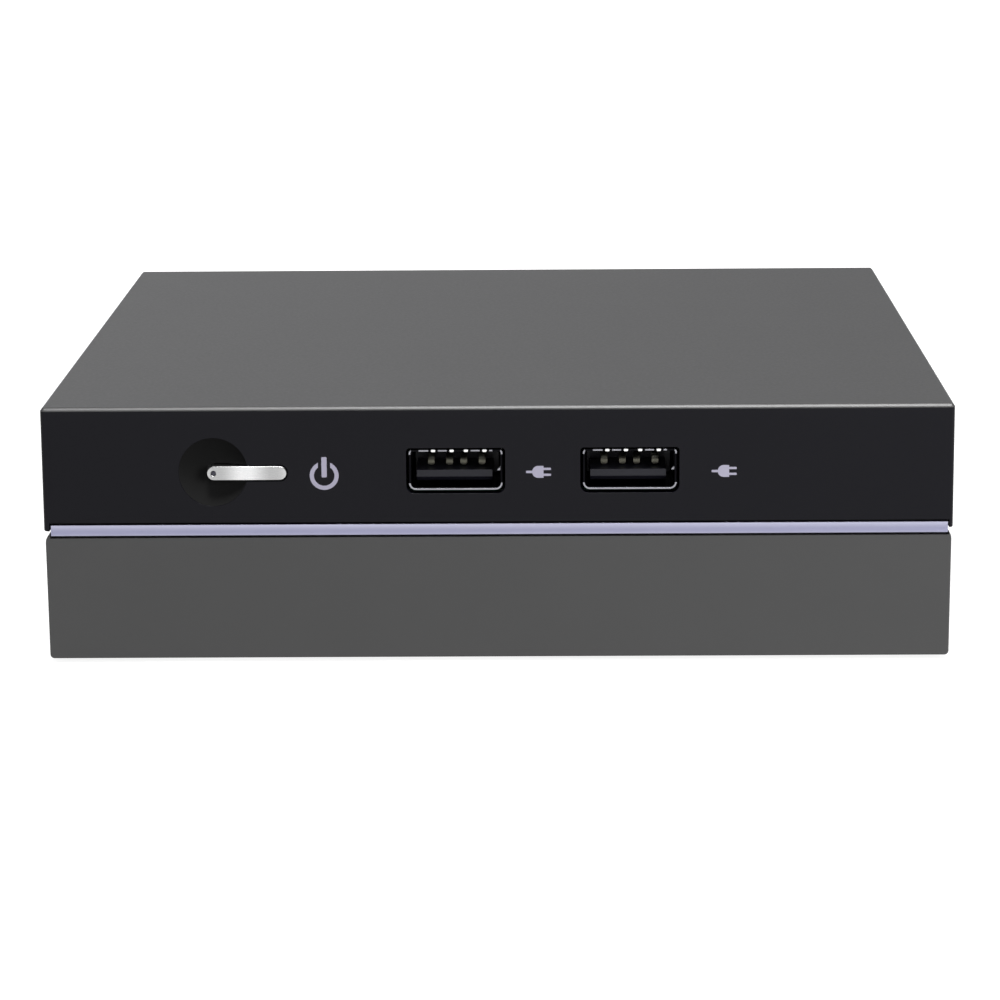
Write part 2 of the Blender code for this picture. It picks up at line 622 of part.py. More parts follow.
def memory():
    """Laptop-size memory module lying in its socket, whose two arms hold the module's ends."""
    y = (-0.0360, 0.0316)
    socket = box("memory_socket", (0.0550, 0.0603), (y[0] - 0.0022, y[1] + 0.0022), (ON_BOARD, 0.0290), MATT_BLACK)
    arms = [
        box(f"memory_arm_{i}", (0.0310, 0.0555), span, (ON_BOARD, 0.0276))
        for i, span in enumerate(((y[0] - 0.0022, y[0] - 0.0004), (y[1] + 0.0004, y[1] + 0.0022)))
    ]
    join(socket, *arms)
    cut(socket, box("memory_slot", (0.0540, 0.0580), (y[0] - 0.0003, y[1] + 0.0003), (0.0264, 0.0282)))
    module = box("memory_module", (0.0305, 0.0577), y, (0.0267, 0.0279), BOARD_GREEN)
    middle = sum(y) / 2
    chips = slots("memory_chip", 4, 0.0160, middle,
                  lambda name, at: box(name, (0.0340, 0.0470), around(at, 0.0110), (0.0278, 0.0290)))
    return join(module, *chips)


def storage_module():
    """Stick-shaped solid-state drive in its edge socket."""
    y = (-0.0470, -0.0250)
    socket = box("ssd_socket", (0.0210, 0.0285), y, (ON_BOARD, 0.0290), MATT_BLACK)
    cut(socket, box("ssd_slot", (0.0200, 0.0232), (y[0] + 0.0007, y[1] - 0.0007), (0.0267, 0.0281)))
    module = box("ssd_module", (-0.0575, 0.0228), (y[0] + 0.0010, y[1] - 0.0010), (0.0270, 0.0278), BOARD_GREEN)
    chips = slots("ssd_chip", 3, 0.0210, -0.0180,
                  lambda name, at: box(name, around(at, 0.0160), around(sum(y) / 2, 0.0140), (0.0277, 0.0290)))
    return join(module, *chips)


def wireless():
    """Radio card in its socket, and the antenna on the left wall with its thin lead."""
    x = (-0.0600, -0.0380)
    socket = box("wireless_socket", x, (0.0465, 0.0540), (ON_BOARD, 0.0290), MATT_BLACK)
    cut(socket, box("wireless_slot", (x[0] + 0.0007, x[1] - 0.0007), (0.0460, 0.0500), (0.0267, 0.0281)))
    card = box("wireless_card", (x[0] + 0.0010, x[1] - 0.0010), (0.0235, 0.0495), (0.0270, 0.0278), BOARD_GREEN)
    join(card, box("wireless_shield", (-0.0560, -0.0420), (0.0290, 0.0440), (0.0277, 0.0292)))

    wall = -INNER_HALF + FIT
    antenna = box("antenna", (wall, wall + 0.0005), (0.0260, 0.0560), (0.0300, 0.0350), BOARD_GREEN)
    route = [
        (wall + 0.0003, 0.0400, 0.0315),
        (wall + 0.0012, 0.0400, 0.0318),
        (wall + 0.0030, 0.0385, 0.0319),
        (wall + 0.0050, 0.0350, 0.0318),
        (wall + 0.0062, 0.0310, 0.0315),
        (wall + 0.0070, 0.0275, 0.0308),
        (wall + 0.0080, 0.0255, 0.0298),
        (wall + 0.0085, 0.0250, 0.0285),
    ]
    return join(antenna, wire("antenna_lead", route, 0.00045))


def wire(name, points, radius):
    """A thin lead along its points, as a helper mesh that can be joined."""
    curve = bpy.data.curves.new(name, "CURVE")
    curve.dimensions = "3D"
    curve.bevel_depth = radius
    curve.bevel_resolution = 1
    curve.use_fill_caps = True
    spline = curve.splines.new("POLY")
    spline.points.add(len(points) - 1)
    for target, point in zip(spline.points, points):
        target.co = (*point, 1.0)
    source = bpy.data.objects.new(f"{name}_curve", curve)
    HELPERS.objects.link(source)
    bpy.context.view_layer.update()
    graph = bpy.context.evaluated_depsgraph_get()
    mesh = bpy.data.meshes.new_from_object(source.evaluated_get(graph))
    bm = bmesh.new()
    bm.from_mesh(mesh)
    bmesh.ops.remove_doubles(bm, verts=bm.verts, dist=1e-6)
    bm.transform(source.matrix_world)
    bpy.data.objects.remove(source)
    return place(name, bm, (0.0, 0.0, 0.0))


def coin_cell():
    x, y = 0.0440, -0.0496
    holder = cylinder("coin_cell_holder", (x, y, 0.0263), 0.0109, 0.0030, segments=32, finish=MATT_BLACK)
    cut(holder, cylinder("cell_pocket", (x, y, 0.0275), 0.0103, 0.0040, segments=32))
    cell = cylinder("coin_cell", (x, y, 0.0268), 0.0100, 0.0020, segments=32, finish=STEEL)
    return join(cell, cylinder("cell_cap", (x, y, 0.0282), 0.0089, 0.0012, segments=32))


# ---- Dock ---------------------------------------------------------------------------------------
def dock_case():
    """Lower tier: top plate and walls in one, drafted, with round shoulders, vents and locating pins."""
    bm, centre = box_mesh((-DOCK_HALF, DOCK_HALF), (-DOCK_HALF, DOCK_HALF), (DOCK_BOTTOM, DOCK_TOP))
    for vertex in bm.verts:
        if vertex.co.z < 0:
            vertex.co.x -= math.copysign(DOCK_DRAFT, vertex.co.x)
            vertex.co.y -= math.copysign(DOCK_DRAFT, vertex.co.y)
    round_edges(bm, edges_along(bm, Y_AXIS, lambda middle: middle.z > 0), DOCK_TOP_RADIUS, 4)
    round_edges(bm, edges_along(bm, Y_AXIS, lambda middle: middle.z < -DOCK_HEIGHT / 2.001), DOCK_BOTTOM_RADIUS, 2)
    for side in (-1, 1):
        end = max(bm.faces, key=lambda face: side * face.calc_center_median().y)
        round_edges(bm, list(end.edges), DOCK_END_RADIUS, 2)
    case = place("dock_case", bm, centre, SATIN_GREY)

    inner = DOCK_HALF - DOCK_WALL
    cut(case, box("dock_inside", (-inner, inner), (-inner, inner), (0.0, DOCK_CEILING)))

    pieces = []
    for i, (x, y) in enumerate(corners(DOCK_POST_AT)):
        pieces.append(cylinder(f"dock_post_{i}", (x, y, 0.01125), 0.0035, 0.0135))
    for i, (x, y) in enumerate(PIN_AT):
        pieces.append(cylinder(f"locating_pin_{i}", (x, y, 0.0197), PIN_RADIUS, 0.0030, segments=16, tip=0.0018))
    for i, x in enumerate((-0.0260, 0.0260)):
        pieces.append(cylinder(f"board_post_{i}", (x, 0.0570, 0.0154), 0.0022, 0.0050, segments=12))
    join(case, *pieces)

    cutters = [box("dock_strip_rebate", (-STRIP_HALF_LENGTH - 0.00015, STRIP_HALF_LENGTH + 0.00015),
                   (-0.0650, -0.0622), (STRIP_BOTTOM - 0.00045, 0.0200))]
    for i, (x, y) in enumerate(corners(DOCK_POST_AT)):
        cutters.append(cylinder(f"dock_bore_{i}", (x, y, 0.0080), SCREW_BORE_RADIUS, 0.0100, segments=12))
    for i, x in enumerate((-MAGNET_X, MAGNET_X)):
        cutters.append(cylinder(f"dock_magnet_pocket_{i}", (x, 0.0, DOCK_TOP), MAGNET_RADIUS + TRAVEL_GAP, 0.0024))
    cutters.append(rounded_box("plug_opening", (-PLUG_HALF - 0.0006, PLUG_HALF + 0.0006),
                               (PLUG_Y[0] - 0.0006, PLUG_Y[1] + 0.0006), (0.0165, 0.0200), Z_AXIS, 0.0008, 2))

    def vent(name, y):
        return rounded_box(name, (-0.070, 0.070), around(y, 0.0080), (0.0088, 0.0104), X_AXIS, 0.0006, 2)

    cutters += slots("dock_vent", 6, 0.0120, 0.0, vent)
    return cut(case, *cutters)


def dock_cover():
    """Bottom plate: foot recesses, screw seats, vents and two rails under the drive."""
    half = COVER_HALF
    cover = box("dock_cover", (-half, half), (-half, half), (DOCK_BOTTOM, COVER_TOP), MATT_BLACK)
    pieces = [
        cylinder(f"cover_post_{i}", (x, y, 0.0033), 0.0036, 0.0018) for i, (x, y) in enumerate(corners(DOCK_POST_AT))
    ]
    for i, x in enumerate((-0.0300, 0.0300)):
        pieces.append(box(f"drive_rail_{i}", around(x, 0.0020), (-0.0500, 0.0400), (COVER_TOP - 0.0005, 0.0051)))
    join(cover, *pieces)
    cutters = []
    for i, (x, y) in enumerate(corners(DOCK_POST_AT)):
        cutters.append(cylinder(f"cover_counterbore_{i}", (x, y, 0.0016), COUNTERBORE_RADIUS, 0.0024))
        cutters.append(cylinder(f"cover_hole_{i}", (x, y, 0.0030), SCREW_BORE_RADIUS, 0.0040, segments=12))
    for i, (x, y) in enumerate(corners(FOOT_AT)):
        cutters.append(cylinder(f"foot_recess_{i}", (x, y, 0.0010), FOOT_RADIUS + TRAVEL_GAP, 0.0012, segments=24))

    def intake(name, y):
        return box(name, (-0.0240, 0.0240), around(y, 0.0016), (0.0, 0.0040))

    cutters += slots("cover_intake", 11, 0.0040, 0.0, intake)
    return cut(cover, *cutters)


def feet():
    for i, (x, y) in enumerate(corners(FOOT_AT)):
        bm = bmesh.new()
        bmesh.ops.create_cone(bm, cap_ends=True, segments=24, radius1=FOOT_RADIUS, radius2=FOOT_RADIUS,
                              depth=FOOT_THICKNESS)
        rim = [e for e in bm.edges if all(v.co.z < 0 for v in e.verts)]
        round_edges(bm, rim, 0.0002, 1)
        place(f"foot_{i + 1}", bm, (x, y, FOOT_THICKNESS / 2 - BENCH), RUBBER)


def drive():
    """Flat 2.5-inch drive on the cover's rails, its connector, and the small board that carries the plug."""
    body = rounded_box("drive", (-0.0349, 0.0349), (-0.0550, 0.0450), (0.0054, 0.0124), Z_AXIS, 0.0012, 2, ALUMINIUM)
    cut(body, box("drive_contacts", (-0.0160, 0.0180), (0.0430, 0.0460), (0.0064, 0.0090)))
    box("drive_connector", (-0.0170, 0.0190), (0.0453, 0.0510), (0.0058, 0.0110), MATT_BLACK)
    box("dock_board", (-0.0300, 0.0300), (0.0456, 0.0608), (0.0112, 0.0124), BOARD_GREEN)
    plug = box("dock_plug", (-PLUG_HALF, PLUG_HALF), PLUG_Y, (0.0127, 0.0188), MATT_BLACK)
    join(plug, box("plug_tongue", (-0.0100, 0.0100), around(sum(PLUG_Y) / 2, 0.0016), (0.0186, 0.0212)))


def dock_socket():
    """The host's half of the dock connector, under the motherboard."""
    socket = box("dock_socket", (-PLUG_HALF, PLUG_HALF), PLUG_Y, (0.0199, 0.0227), MATT_BLACK)
    return cut(socket, box("socket_slot", (-0.0104, 0.0104), around(sum(PLUG_Y) / 2, 0.0024), (0.0190, 0.0217)))


def magnets():
    for side, x in (("left", -MAGNET_X), ("right", MAGNET_X)):
        cylinder(f"dock_magnet_{side}", (x, 0.0, DOCK_TOP - 0.0005), MAGNET_RADIUS, 0.0008, finish=NICKEL)
        cylinder(f"host_magnet_{side}", (x, 0.0, HOST_BOTTOM + 0.0005), MAGNET_RADIUS, 0.0008, finish=NICKEL)


def screw(name, x, y, head_bottom, length):
    """Pan-head screw standing head down, with a cross recess."""
    head = cylinder(name, (x, y, head_bottom + SCREW_HEAD_HEIGHT / 2), SCREW_HEAD_RADIUS, SCREW_HEAD_HEIGHT,
                    finish=STEEL)
    shank_low = head_bottom + SCREW_HEAD_HEIGHT - 0.0003
    shank_high = head_bottom + length
    join(head, cylinder(f"{name}_shank", (x, y, (shank_low + shank_high) / 2), SCREW_SHANK_RADIUS,
                        shank_high - shank_low, segments=12))
    recess = (head_bottom - 0.0005, head_bottom + 0.0007)
    bar = box(f"{name}_recess", around(x, 0.0026), around(y, 0.0006), recess)
    join(bar, box(f"{name}_recess_across", around(x, 0.0006), around(y, 0.0026), recess))
    return cut(head, bar)


def screws():
    for i, (x, y) in enumerate(corners(POST_AT)):
        screw(f"base_screw_{i + 1}", x, y, HOST_BOTTOM + 0.0003, 0.0100)
    for i, (x, y) in enumerate(corners(DOCK_POST_AT)):
        screw(f"cover_screw_{i + 1}", x, y, DOCK_BOTTOM + 0.0003, 0.0090)


# ---- The whole machine --------------------------------------------------------------------------
def main():
    top_cover()
    front_panel()
    host_frame()
    host_base()
    accent_strip()
    for side, x in FRONT_USB_X.items():
        usb_port(f"front_usb_{side}", x, -PORT_FACE, 1)
    for side, x in REAR_USB_X.items():
        usb_port(f"rear_usb_{side}", x, PORT_FACE, -1)
    video_port()
    network_jack()
    audio_jack()
    power_jack()
    power_button()
    status_light()
    power_switch()
    motherboard()
    processor()
    heatsink()
    fan_housing()
    fan_cover()
    fan_impeller()
    memory()
    storage_module()
    wireless()
    coin_cell()
    dock_socket()
    dock_case()
    dock_cover()
    feet()
    drive()
    magnets()
    screws()


main()
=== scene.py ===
import math

import bmesh
import bpy
from mathutils import Matrix, Vector


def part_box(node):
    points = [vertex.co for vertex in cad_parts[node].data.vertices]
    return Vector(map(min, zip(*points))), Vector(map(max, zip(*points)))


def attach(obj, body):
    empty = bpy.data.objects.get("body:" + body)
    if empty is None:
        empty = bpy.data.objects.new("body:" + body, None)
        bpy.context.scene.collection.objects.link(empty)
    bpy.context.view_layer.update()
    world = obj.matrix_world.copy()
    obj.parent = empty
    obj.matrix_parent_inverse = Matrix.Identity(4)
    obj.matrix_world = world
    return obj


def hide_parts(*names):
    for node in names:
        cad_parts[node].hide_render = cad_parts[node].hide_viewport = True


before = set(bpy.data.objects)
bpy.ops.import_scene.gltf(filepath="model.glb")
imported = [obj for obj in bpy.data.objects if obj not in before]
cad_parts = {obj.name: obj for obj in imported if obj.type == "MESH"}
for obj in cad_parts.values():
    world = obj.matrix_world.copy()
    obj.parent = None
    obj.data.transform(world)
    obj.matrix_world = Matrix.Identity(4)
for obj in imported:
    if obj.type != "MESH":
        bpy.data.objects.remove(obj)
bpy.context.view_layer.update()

X_AXIS, Y_AXIS, Z_AXIS = 0, 1, 2
MM = 0.001
SHARP = math.radians(32)
FLAT = math.radians(0.5)

# Heights in this file are measured from a bench plane, 37 mm under the lid's top, as the design was laid out.
BENCH = Vector((0.0, 0.0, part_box("top_cover")[1].z - 37.0 * MM))


def node_box(name):
    """A CAD node's lowest and highest corners, with heights measured from the bench plane."""
    low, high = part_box(name)
    return low - BENCH, high - BENCH


# ---- Camera -------------------------------------------------------------------------------------
def make_camera():
    """The photograph's view: from the front, a little right of the middle, looking 12 degrees down."""
    data = bpy.data.cameras.new("camera")
    data.sensor_width = 36.0
    data.lens = 127.11
    data.clip_start = 0.01
    camera = bpy.data.objects.new("camera", data)
    bpy.context.scene.collection.objects.link(camera)
    turn, down, roll = math.radians(0.82), math.radians(12.28), math.radians(-0.45)
    facing = Matrix.Rotation(turn, 4, "Z") @ Matrix.Rotation(math.pi / 2 - down, 4, "X")
    place = Vector((0.0073, -0.5485, 0.1290)) + BENCH
    camera.matrix_world = Matrix.Translation(place) @ facing @ Matrix.Rotation(roll, 4, "Z")
    bpy.context.scene.camera = camera


# ---- Light and floor ----------------------------------------------------------------------------
def add_lamp(name, kind, place, strength):
    """A lamp at a place, or for a sun in that direction, that points at the object."""
    data = bpy.data.lights.new(name, kind)
    data.energy = strength
    lamp = bpy.data.objects.new(name, data)
    lamp.location = place
    lamp.rotation_mode = "QUATERNION"
    lamp.rotation_quaternion = Vector(place).to_track_quat("Z", "Y")
    bpy.context.scene.collection.objects.link(lamp)
    return data


def mixed_by_ray(tree, kind, usual, special, output):
    """A studio trick: one kind of ray sees the special shader, and every other ray the usual one."""
    path = tree.nodes.new("ShaderNodeLightPath")
    mix = tree.nodes.new("ShaderNodeMixShader")
    tree.links.new(path.outputs[kind], mix.inputs[0])
    tree.links.new(usual.outputs[0], mix.inputs[1])
    tree.links.new(special.outputs[0], mix.inputs[2])
    tree.links.new(mix.outputs[0], output.inputs["Surface"])


def spread(tree, source, low, high, at_low, at_high):
    """Maps a value from one range to another."""
    made = tree.nodes.new("ShaderNodeMapRange")
    for socket, value in (("From Min", low), ("From Max", high), ("To Min", at_low), ("To Max", at_high)):
        made.inputs[socket].default_value = value
    tree.links.new(source, made.inputs["Value"])
    return made.outputs["Result"]


def make_world():
    """A room that glows near the horizon, more on the left, in front of a white backdrop."""
    world = bpy.data.worlds.new("studio")
    world.use_nodes = True
    tree = world.node_tree
    direction = tree.nodes.new("ShaderNodeTexCoord").outputs["Generated"]
    parts = tree.nodes.new("ShaderNodeSeparateXYZ")
    tree.links.new(direction, parts.inputs[0])
    product = tree.nodes.new("ShaderNodeMath")
    product.operation = "MULTIPLY"
    tree.links.new(spread(tree, parts.outputs["Z"], 0.7, 0.0, 0.22, 0.35), product.inputs[0])
    tree.links.new(spread(tree, parts.outputs["X"], -0.14, 0.14, 1.22, 0.78), product.inputs[1])
    room = tree.nodes["Background"]
    room.inputs["Color"].default_value = (0.97, 0.97, 1.0, 1.0)
    tree.links.new(product.outputs[0], room.inputs["Strength"])
    backdrop = tree.nodes.new("ShaderNodeBackground")
    backdrop.inputs["Color"].default_value = (1.0, 1.0, 1.0, 1.0)
    mixed_by_ray(tree, "Is Camera Ray", room, backdrop, tree.nodes["World Output"])
    bpy.context.scene.world = world


def make_floor():
    """A light table: evenly pale to the camera, brighter to the right in mirrors, dim on matt surfaces."""
    bm = bmesh.new()
    bmesh.ops.create_grid(bm, x_segments=1, y_segments=1, size=6.0)
    mesh = bpy.data.meshes.new("floor")
    bm.to_mesh(mesh)
    bm.free()
    floor = bpy.data.objects.new("floor", mesh)
    bpy.context.scene.collection.objects.link(floor)
    material = bpy.data.materials.new("pale_floor")
    material.use_nodes = True
    tree = material.node_tree
    table = tree.nodes["Principled BSDF"]
    table.inputs["Base Color"].default_value = (0.30, 0.30, 0.30, 1.0)
    table.inputs["Roughness"].default_value = 0.9
    table.inputs["Specular IOR Level"].default_value = 0.0
    table.inputs["Emission Color"].default_value = (1.0, 1.0, 1.0, 1.0)
    parts = tree.nodes.new("ShaderNodeSeparateXYZ")
    tree.links.new(tree.nodes.new("ShaderNodeTexCoord").outputs["Object"], parts.inputs[0])
    mirrored = spread(tree, parts.outputs["X"], -0.10, 0.10, 0.66, 0.80)
    is_camera = tree.nodes.new("ShaderNodeLightPath").outputs["Is Camera Ray"]
    pale = spread(tree, is_camera, 0.0, 1.0, 0.0, 0.88)
    brighter = tree.nodes.new("ShaderNodeMath")
    brighter.operation = "MAXIMUM"
    tree.links.new(mirrored, brighter.inputs[0])
    tree.links.new(pale, brighter.inputs[1])
    tree.links.new(brighter.outputs[0], table.inputs["Emission Strength"])
    dim = tree.nodes.new("ShaderNodeEmission")
    dim.inputs["Strength"].default_value = 0.29
    mixed_by_ray(tree, "Is Diffuse Ray", table, dim, tree.nodes["Material Output"])
    mesh.materials.append(material)


def make_studio():
    """A broad overhead sun, a low softbox at the right, a fill behind and a light that edges mirror."""
    bpy.context.scene.view_settings.view_transform = "Standard"
    make_world()
    make_floor()
    overhead = add_lamp("overhead", "SUN", (0.03, -0.19, 0.98), 3.0)
    overhead.angle = math.radians(18)
    bpy.data.objects["overhead"].visible_glossy = False
    # The edge light is seen only as a reflection, and the other two only as light on matt surfaces.
    for name, place, strength, size in (
        ("right_softbox", (0.32, -0.32, 0.14), 1.05, 0.20),
        ("rear_fill", (-0.30, 0.85, 0.50), 6.5, 0.60),
        ("edge_light", (0.11, -0.32, 0.81), 12.5, 0.50),
    ):
        lamp = add_lamp(name, "AREA", place, strength)
        lamp.shape = "SQUARE"
        lamp.size = size
        holder = bpy.data.objects[name]
        holder.visible_camera = False
        holder.visible_glossy = name == "edge_light"
        holder.visible_diffuse = name != "edge_light"


# ---- Materials ----------------------------------------------------------------------------------
def grey(value):
    return (value, value, value)


class Finish:
    """A Principled material that is built up from procedural layers in object space."""

    def __init__(self, name, metallic=0.0, **constants):
        self.material = bpy.data.materials.new(name)
        self.material.use_nodes = True
        self.tree = self.material.node_tree
        self.shader = self.tree.nodes["Principled BSDF"]
        self.shader.inputs["Metallic"].default_value = metallic
        for socket, value in constants.items():
            self.shader.inputs[socket.replace("_", " ")].default_value = value
        self.place = self.tree.nodes.new("ShaderNodeTexCoord").outputs["Object"]

    def node(self, kind, **settings):
        """A new node; a setting is a property of it or, with underscores for spaces, one of its sockets."""
        made = self.tree.nodes.new(kind)
        for key, value in settings.items():
            if hasattr(made, key):
                setattr(made, key, value)
            else:
                made.inputs[key.replace("_", " ")].default_value = value
        return made

    def link(self, source, target):
        self.tree.links.new(source, target)

    def stretched(self, scale):
        """Object coordinates, scaled by a factor on each axis."""
        mapping = self.node("ShaderNodeMapping")
        mapping.inputs["Scale"].default_value = scale
        self.link(self.place, mapping.inputs["Vector"])
        return mapping.outputs["Vector"]

    def noise(self, size, detail, roughness=0.5, stretch=(1.0, 1.0, 1.0)):
        """Noise whose features are about size metres across."""
        made = self.node("ShaderNodeTexNoise", Detail=detail, Roughness=roughness, Scale=1.0 / size)
        self.link(self.stretched(stretch), made.inputs["Vector"])
        return made.outputs["Fac"]

    def lines(self, size, detail, along):
        """Fine lines about size metres wide that run along one axis."""
        stretch = [1.0, 1.0, 1.0]
        stretch[along] = 0.02
        return self.noise(size, detail, 0.7, stretch)

    def ramped(self, amount, stops):
        """Base colour through (position, tone) stops, by a 0 to 1 amount."""
        ramp = self.node("ShaderNodeValToRGB")
        elements = ramp.color_ramp.elements
        for i, (position, tint) in enumerate((stops[0], stops[-1])):
            elements[i].position = position
            elements[i].color = (*tint, 1.0)
        for position, tint in stops[1:-1]:
            elements.new(position).color = (*tint, 1.0)
        self.link(amount, ramp.inputs["Fac"])
        self.link(ramp.outputs["Color"], self.shader.inputs["Base Color"])

    def colours(self, amount, dark, light, low=0.35, high=0.65):
        """Base colour between two tones, by a 0 to 1 amount."""
        self.ramped(amount, ((low, dark), (high, light)))

    def gloss(self, amount, low, high):
        """Roughness between two values, by a 0 to 1 amount."""
        self.link(spread(self.tree, amount, 0.3, 0.7, low, high), self.shader.inputs["Roughness"])

    def bump(self, height, depth, strength=1.0):
        """Relief about depth metres high, by a 0 to 1 height."""
        made = self.node("ShaderNodeBump", Distance=depth, Strength=strength)
        self.link(height, made.inputs["Height"])
        self.link(made.outputs["Normal"], self.shader.inputs["Normal"])


def moulded(name, dark, light, roughness, **constants):
    """Moulded plastic: fine spark-eroded grain, faint cloudiness and slightly uneven sheen."""
    grain = 0.00025
    made = Finish(name, **constants)
    made.colours(made.noise(0.012, 3.0), dark, light)
    made.gloss(made.noise(grain * 2, 2.0), roughness - 0.02, roughness + 0.02)
    made.bump(made.noise(grain, 2.0, 0.6), 0.000004)
    return made.material


def polished(name, dark, light, roughness, **constants):
    """Gloss plastic: almost flat, with a long soft waviness and specks in its sheen."""
    made = Finish(name, **constants)
    made.colours(made.noise(0.03, 2.0), dark, light)
    made.gloss(made.noise(0.0015, 4.0), roughness - 0.02, roughness + 0.03)
    made.bump(made.noise(0.02, 1.0), 0.000004)
    return made.material


def brushed(name, dark, light, roughness, along):
    """Metal with fine lines that run along one axis."""
    made = Finish(name, metallic=1.0)
    lines = made.lines(0.00012, 3.0, along)
    made.colours(lines, dark, light)
    made.gloss(lines, roughness - 0.05, roughness + 0.05)
    made.bump(lines, 0.000003)
    return made.material


def plated(name, dark, light, roughness):
    """Plated sheet: faintly cloudy tone and slightly uneven sheen over a fine rolled grain."""
    made = Finish(name, metallic=1.0)
    made.colours(made.noise(0.003, 2.0), dark, light, 0.2, 0.8)
    made.gloss(made.noise(0.0009, 2.0), roughness - 0.02, roughness + 0.03)
    made.bump(made.noise(0.0003, 2.0), 0.0000006)
    return made.material


def circuit_board(name):
    """Solder resist over copper: a maze of faint raised tracks and scattered vias."""
    made = Finish(name, Specular_IOR_Level=0.5)
    tracks = made.node("ShaderNodeTexBrick", Scale=260.0, Mortar_Size=0.09, Brick_Width=1.6, Row_Height=0.22)
    made.link(made.place, tracks.inputs["Vector"])
    vias = made.node("ShaderNodeTexVoronoi", Scale=420.0)
    made.link(made.place, vias.inputs["Vector"])
    spots = made.node("ShaderNodeMath", operation="LESS_THAN")
    spots.inputs[1].default_value = 0.16
    made.link(vias.outputs["Distance"], spots.inputs[0])
    relief = made.node("ShaderNodeMath", operation="MAXIMUM")
    made.link(tracks.outputs["Fac"], relief.inputs[0])
    made.link(spots.outputs[0], relief.inputs[1])
    made.colours(relief.outputs[0], (0.006, 0.045, 0.022), (0.02, 0.11, 0.05), 0.2, 0.8)
    made.gloss(made.noise(0.002, 3.0), 0.25, 0.4)
    made.bump(relief.outputs[0], 0.00002, 0.6)
    return made.material


def rubbery(name, dark, light):
    """Matt rubber with a coarse, crumbly grain."""
    made = Finish(name, Specular_IOR_Level=0.3)
    made.colours(made.noise(0.002, 3.0), dark, light)
    made.gloss(made.noise(0.001, 3.0), 0.75, 0.9)
    made.bump(made.noise(0.0003, 4.0, 0.7), 0.00002)
    return made.material


def open_foam(name):
    """Black filter foam: round pores between thin struts."""
    made = Finish(name, Specular_IOR_Level=0.1, Roughness=0.95)
    pores = made.node("ShaderNodeTexVoronoi", Scale=1400.0)
    made.link(made.place, pores.inputs["Vector"])
    made.colours(pores.outputs["Distance"], (0.002, 0.002, 0.002), (0.014, 0.014, 0.015), 0.2, 0.7)
    made.bump(pores.outputs["Distance"], 0.0002)
    return made.material


def painted_reflection_metal(name, dark, light, roughness, period, middle):
    """Drawn metal with a painted reflection: soft tone bands across X stand in for reflected light, a bright
    one at the middle, over fine lines along X.
    """
    made = Finish(name, metallic=1.0)
    wave_rate = 20.0  # the Wave texture multiplies its scaled coordinate by this
    scale = 2 * math.pi / (wave_rate * period)
    bands = made.node("ShaderNodeTexWave", bands_direction="X", Scale=scale, Distortion=0.6, Detail=1.0,
                      Phase_Offset=math.pi - wave_rate * scale * middle)
    made.link(made.place, bands.inputs["Vector"])
    made.colours(bands.outputs["Fac"], dark, light, 0.05, 0.95)
    lines = made.lines(0.00008, 2.0, X_AXIS)
    made.gloss(lines, roughness - 0.04, roughness + 0.04)
    made.bump(lines, 0.0000003)
    return made.material


def painted_sheen_metal(name, tones, roughness, low, high):
    """Drawn metal with painted sheen: its tone changes from its lower edge to its upper one, standing in for
    reflected light, over fine lines along X.
    """
    made = Finish(name, metallic=1.0)
    parts = made.node("ShaderNodeSeparateXYZ")
    made.link(made.place, parts.inputs[0])
    lines = made.lines(0.00012, 3.0, X_AXIS)
    amount = made.node("ShaderNodeMath", operation="MULTIPLY_ADD")
    amount.inputs[1].default_value = 0.12
    made.link(lines, amount.inputs[0])
    made.link(spread(made.tree, parts.outputs["Z"], low, high, -0.06, 0.94), amount.inputs[2])
    made.ramped(amount.outputs[0], tones)
    made.gloss(lines, roughness - 0.05, roughness + 0.05)
    made.bump(lines, 0.0000006)
    return made.material


SHELL_GREY = moulded("satin_grey_shell", grey(0.0615), grey(0.0635), 0.38)
PANEL_BLACK = polished("gloss_black_panel", (0.0036, 0.0034, 0.0064), (0.0040, 0.0038, 0.0069), 0.12,
                       Specular_IOR_Level=0.145)
DISH_BLACK = moulded("dish_black", grey(0.0150), grey(0.0165), 0.6, Specular_IOR_Level=0.0)
SHELL_BLACK = moulded("matt_black_shell", (0.010, 0.010, 0.011), (0.014, 0.014, 0.015), 0.52,
                      Specular_IOR_Level=0.35)
# The button's tone bands are a painted reflection, brightest at x = -35.3 mm.
BUTTON_METAL = painted_reflection_metal("silver_button", grey(0.47), grey(0.82), 0.28, 8.0 * MM, -35.3 * MM)
LENS = polished("smoked_lens", (0.028, 0.028, 0.050), (0.035, 0.035, 0.060), 0.1)
PRINT = moulded("printed_symbol", (0.50, 0.48, 0.60), (0.54, 0.52, 0.65), 0.5, Specular_IOR_Level=0.2)
# Black nickel for the front USB shells, also painted shade: it keeps the inside of the ports dark, while the
# rear shells are plain nickel.
BLACK_NICKEL_PAINTED_SHADE = plated("black_nickel_painted_shade", (0.004, 0.004, 0.005), (0.007, 0.007, 0.008), 0.22)
NICKEL = plated("nickel_plate", (0.42, 0.41, 0.39), (0.55, 0.54, 0.51), 0.25)
# Bright cut-edge metal for the USB lips and fingers, kept only where highlights fall: partly bare metal,
# partly painted highlight.
CUT_EDGE_PAINTED_HIGHLIGHT = plated("cut_edge_painted_highlight", (0.29, 0.29, 0.32), (0.37, 0.37, 0.40), 0.22)
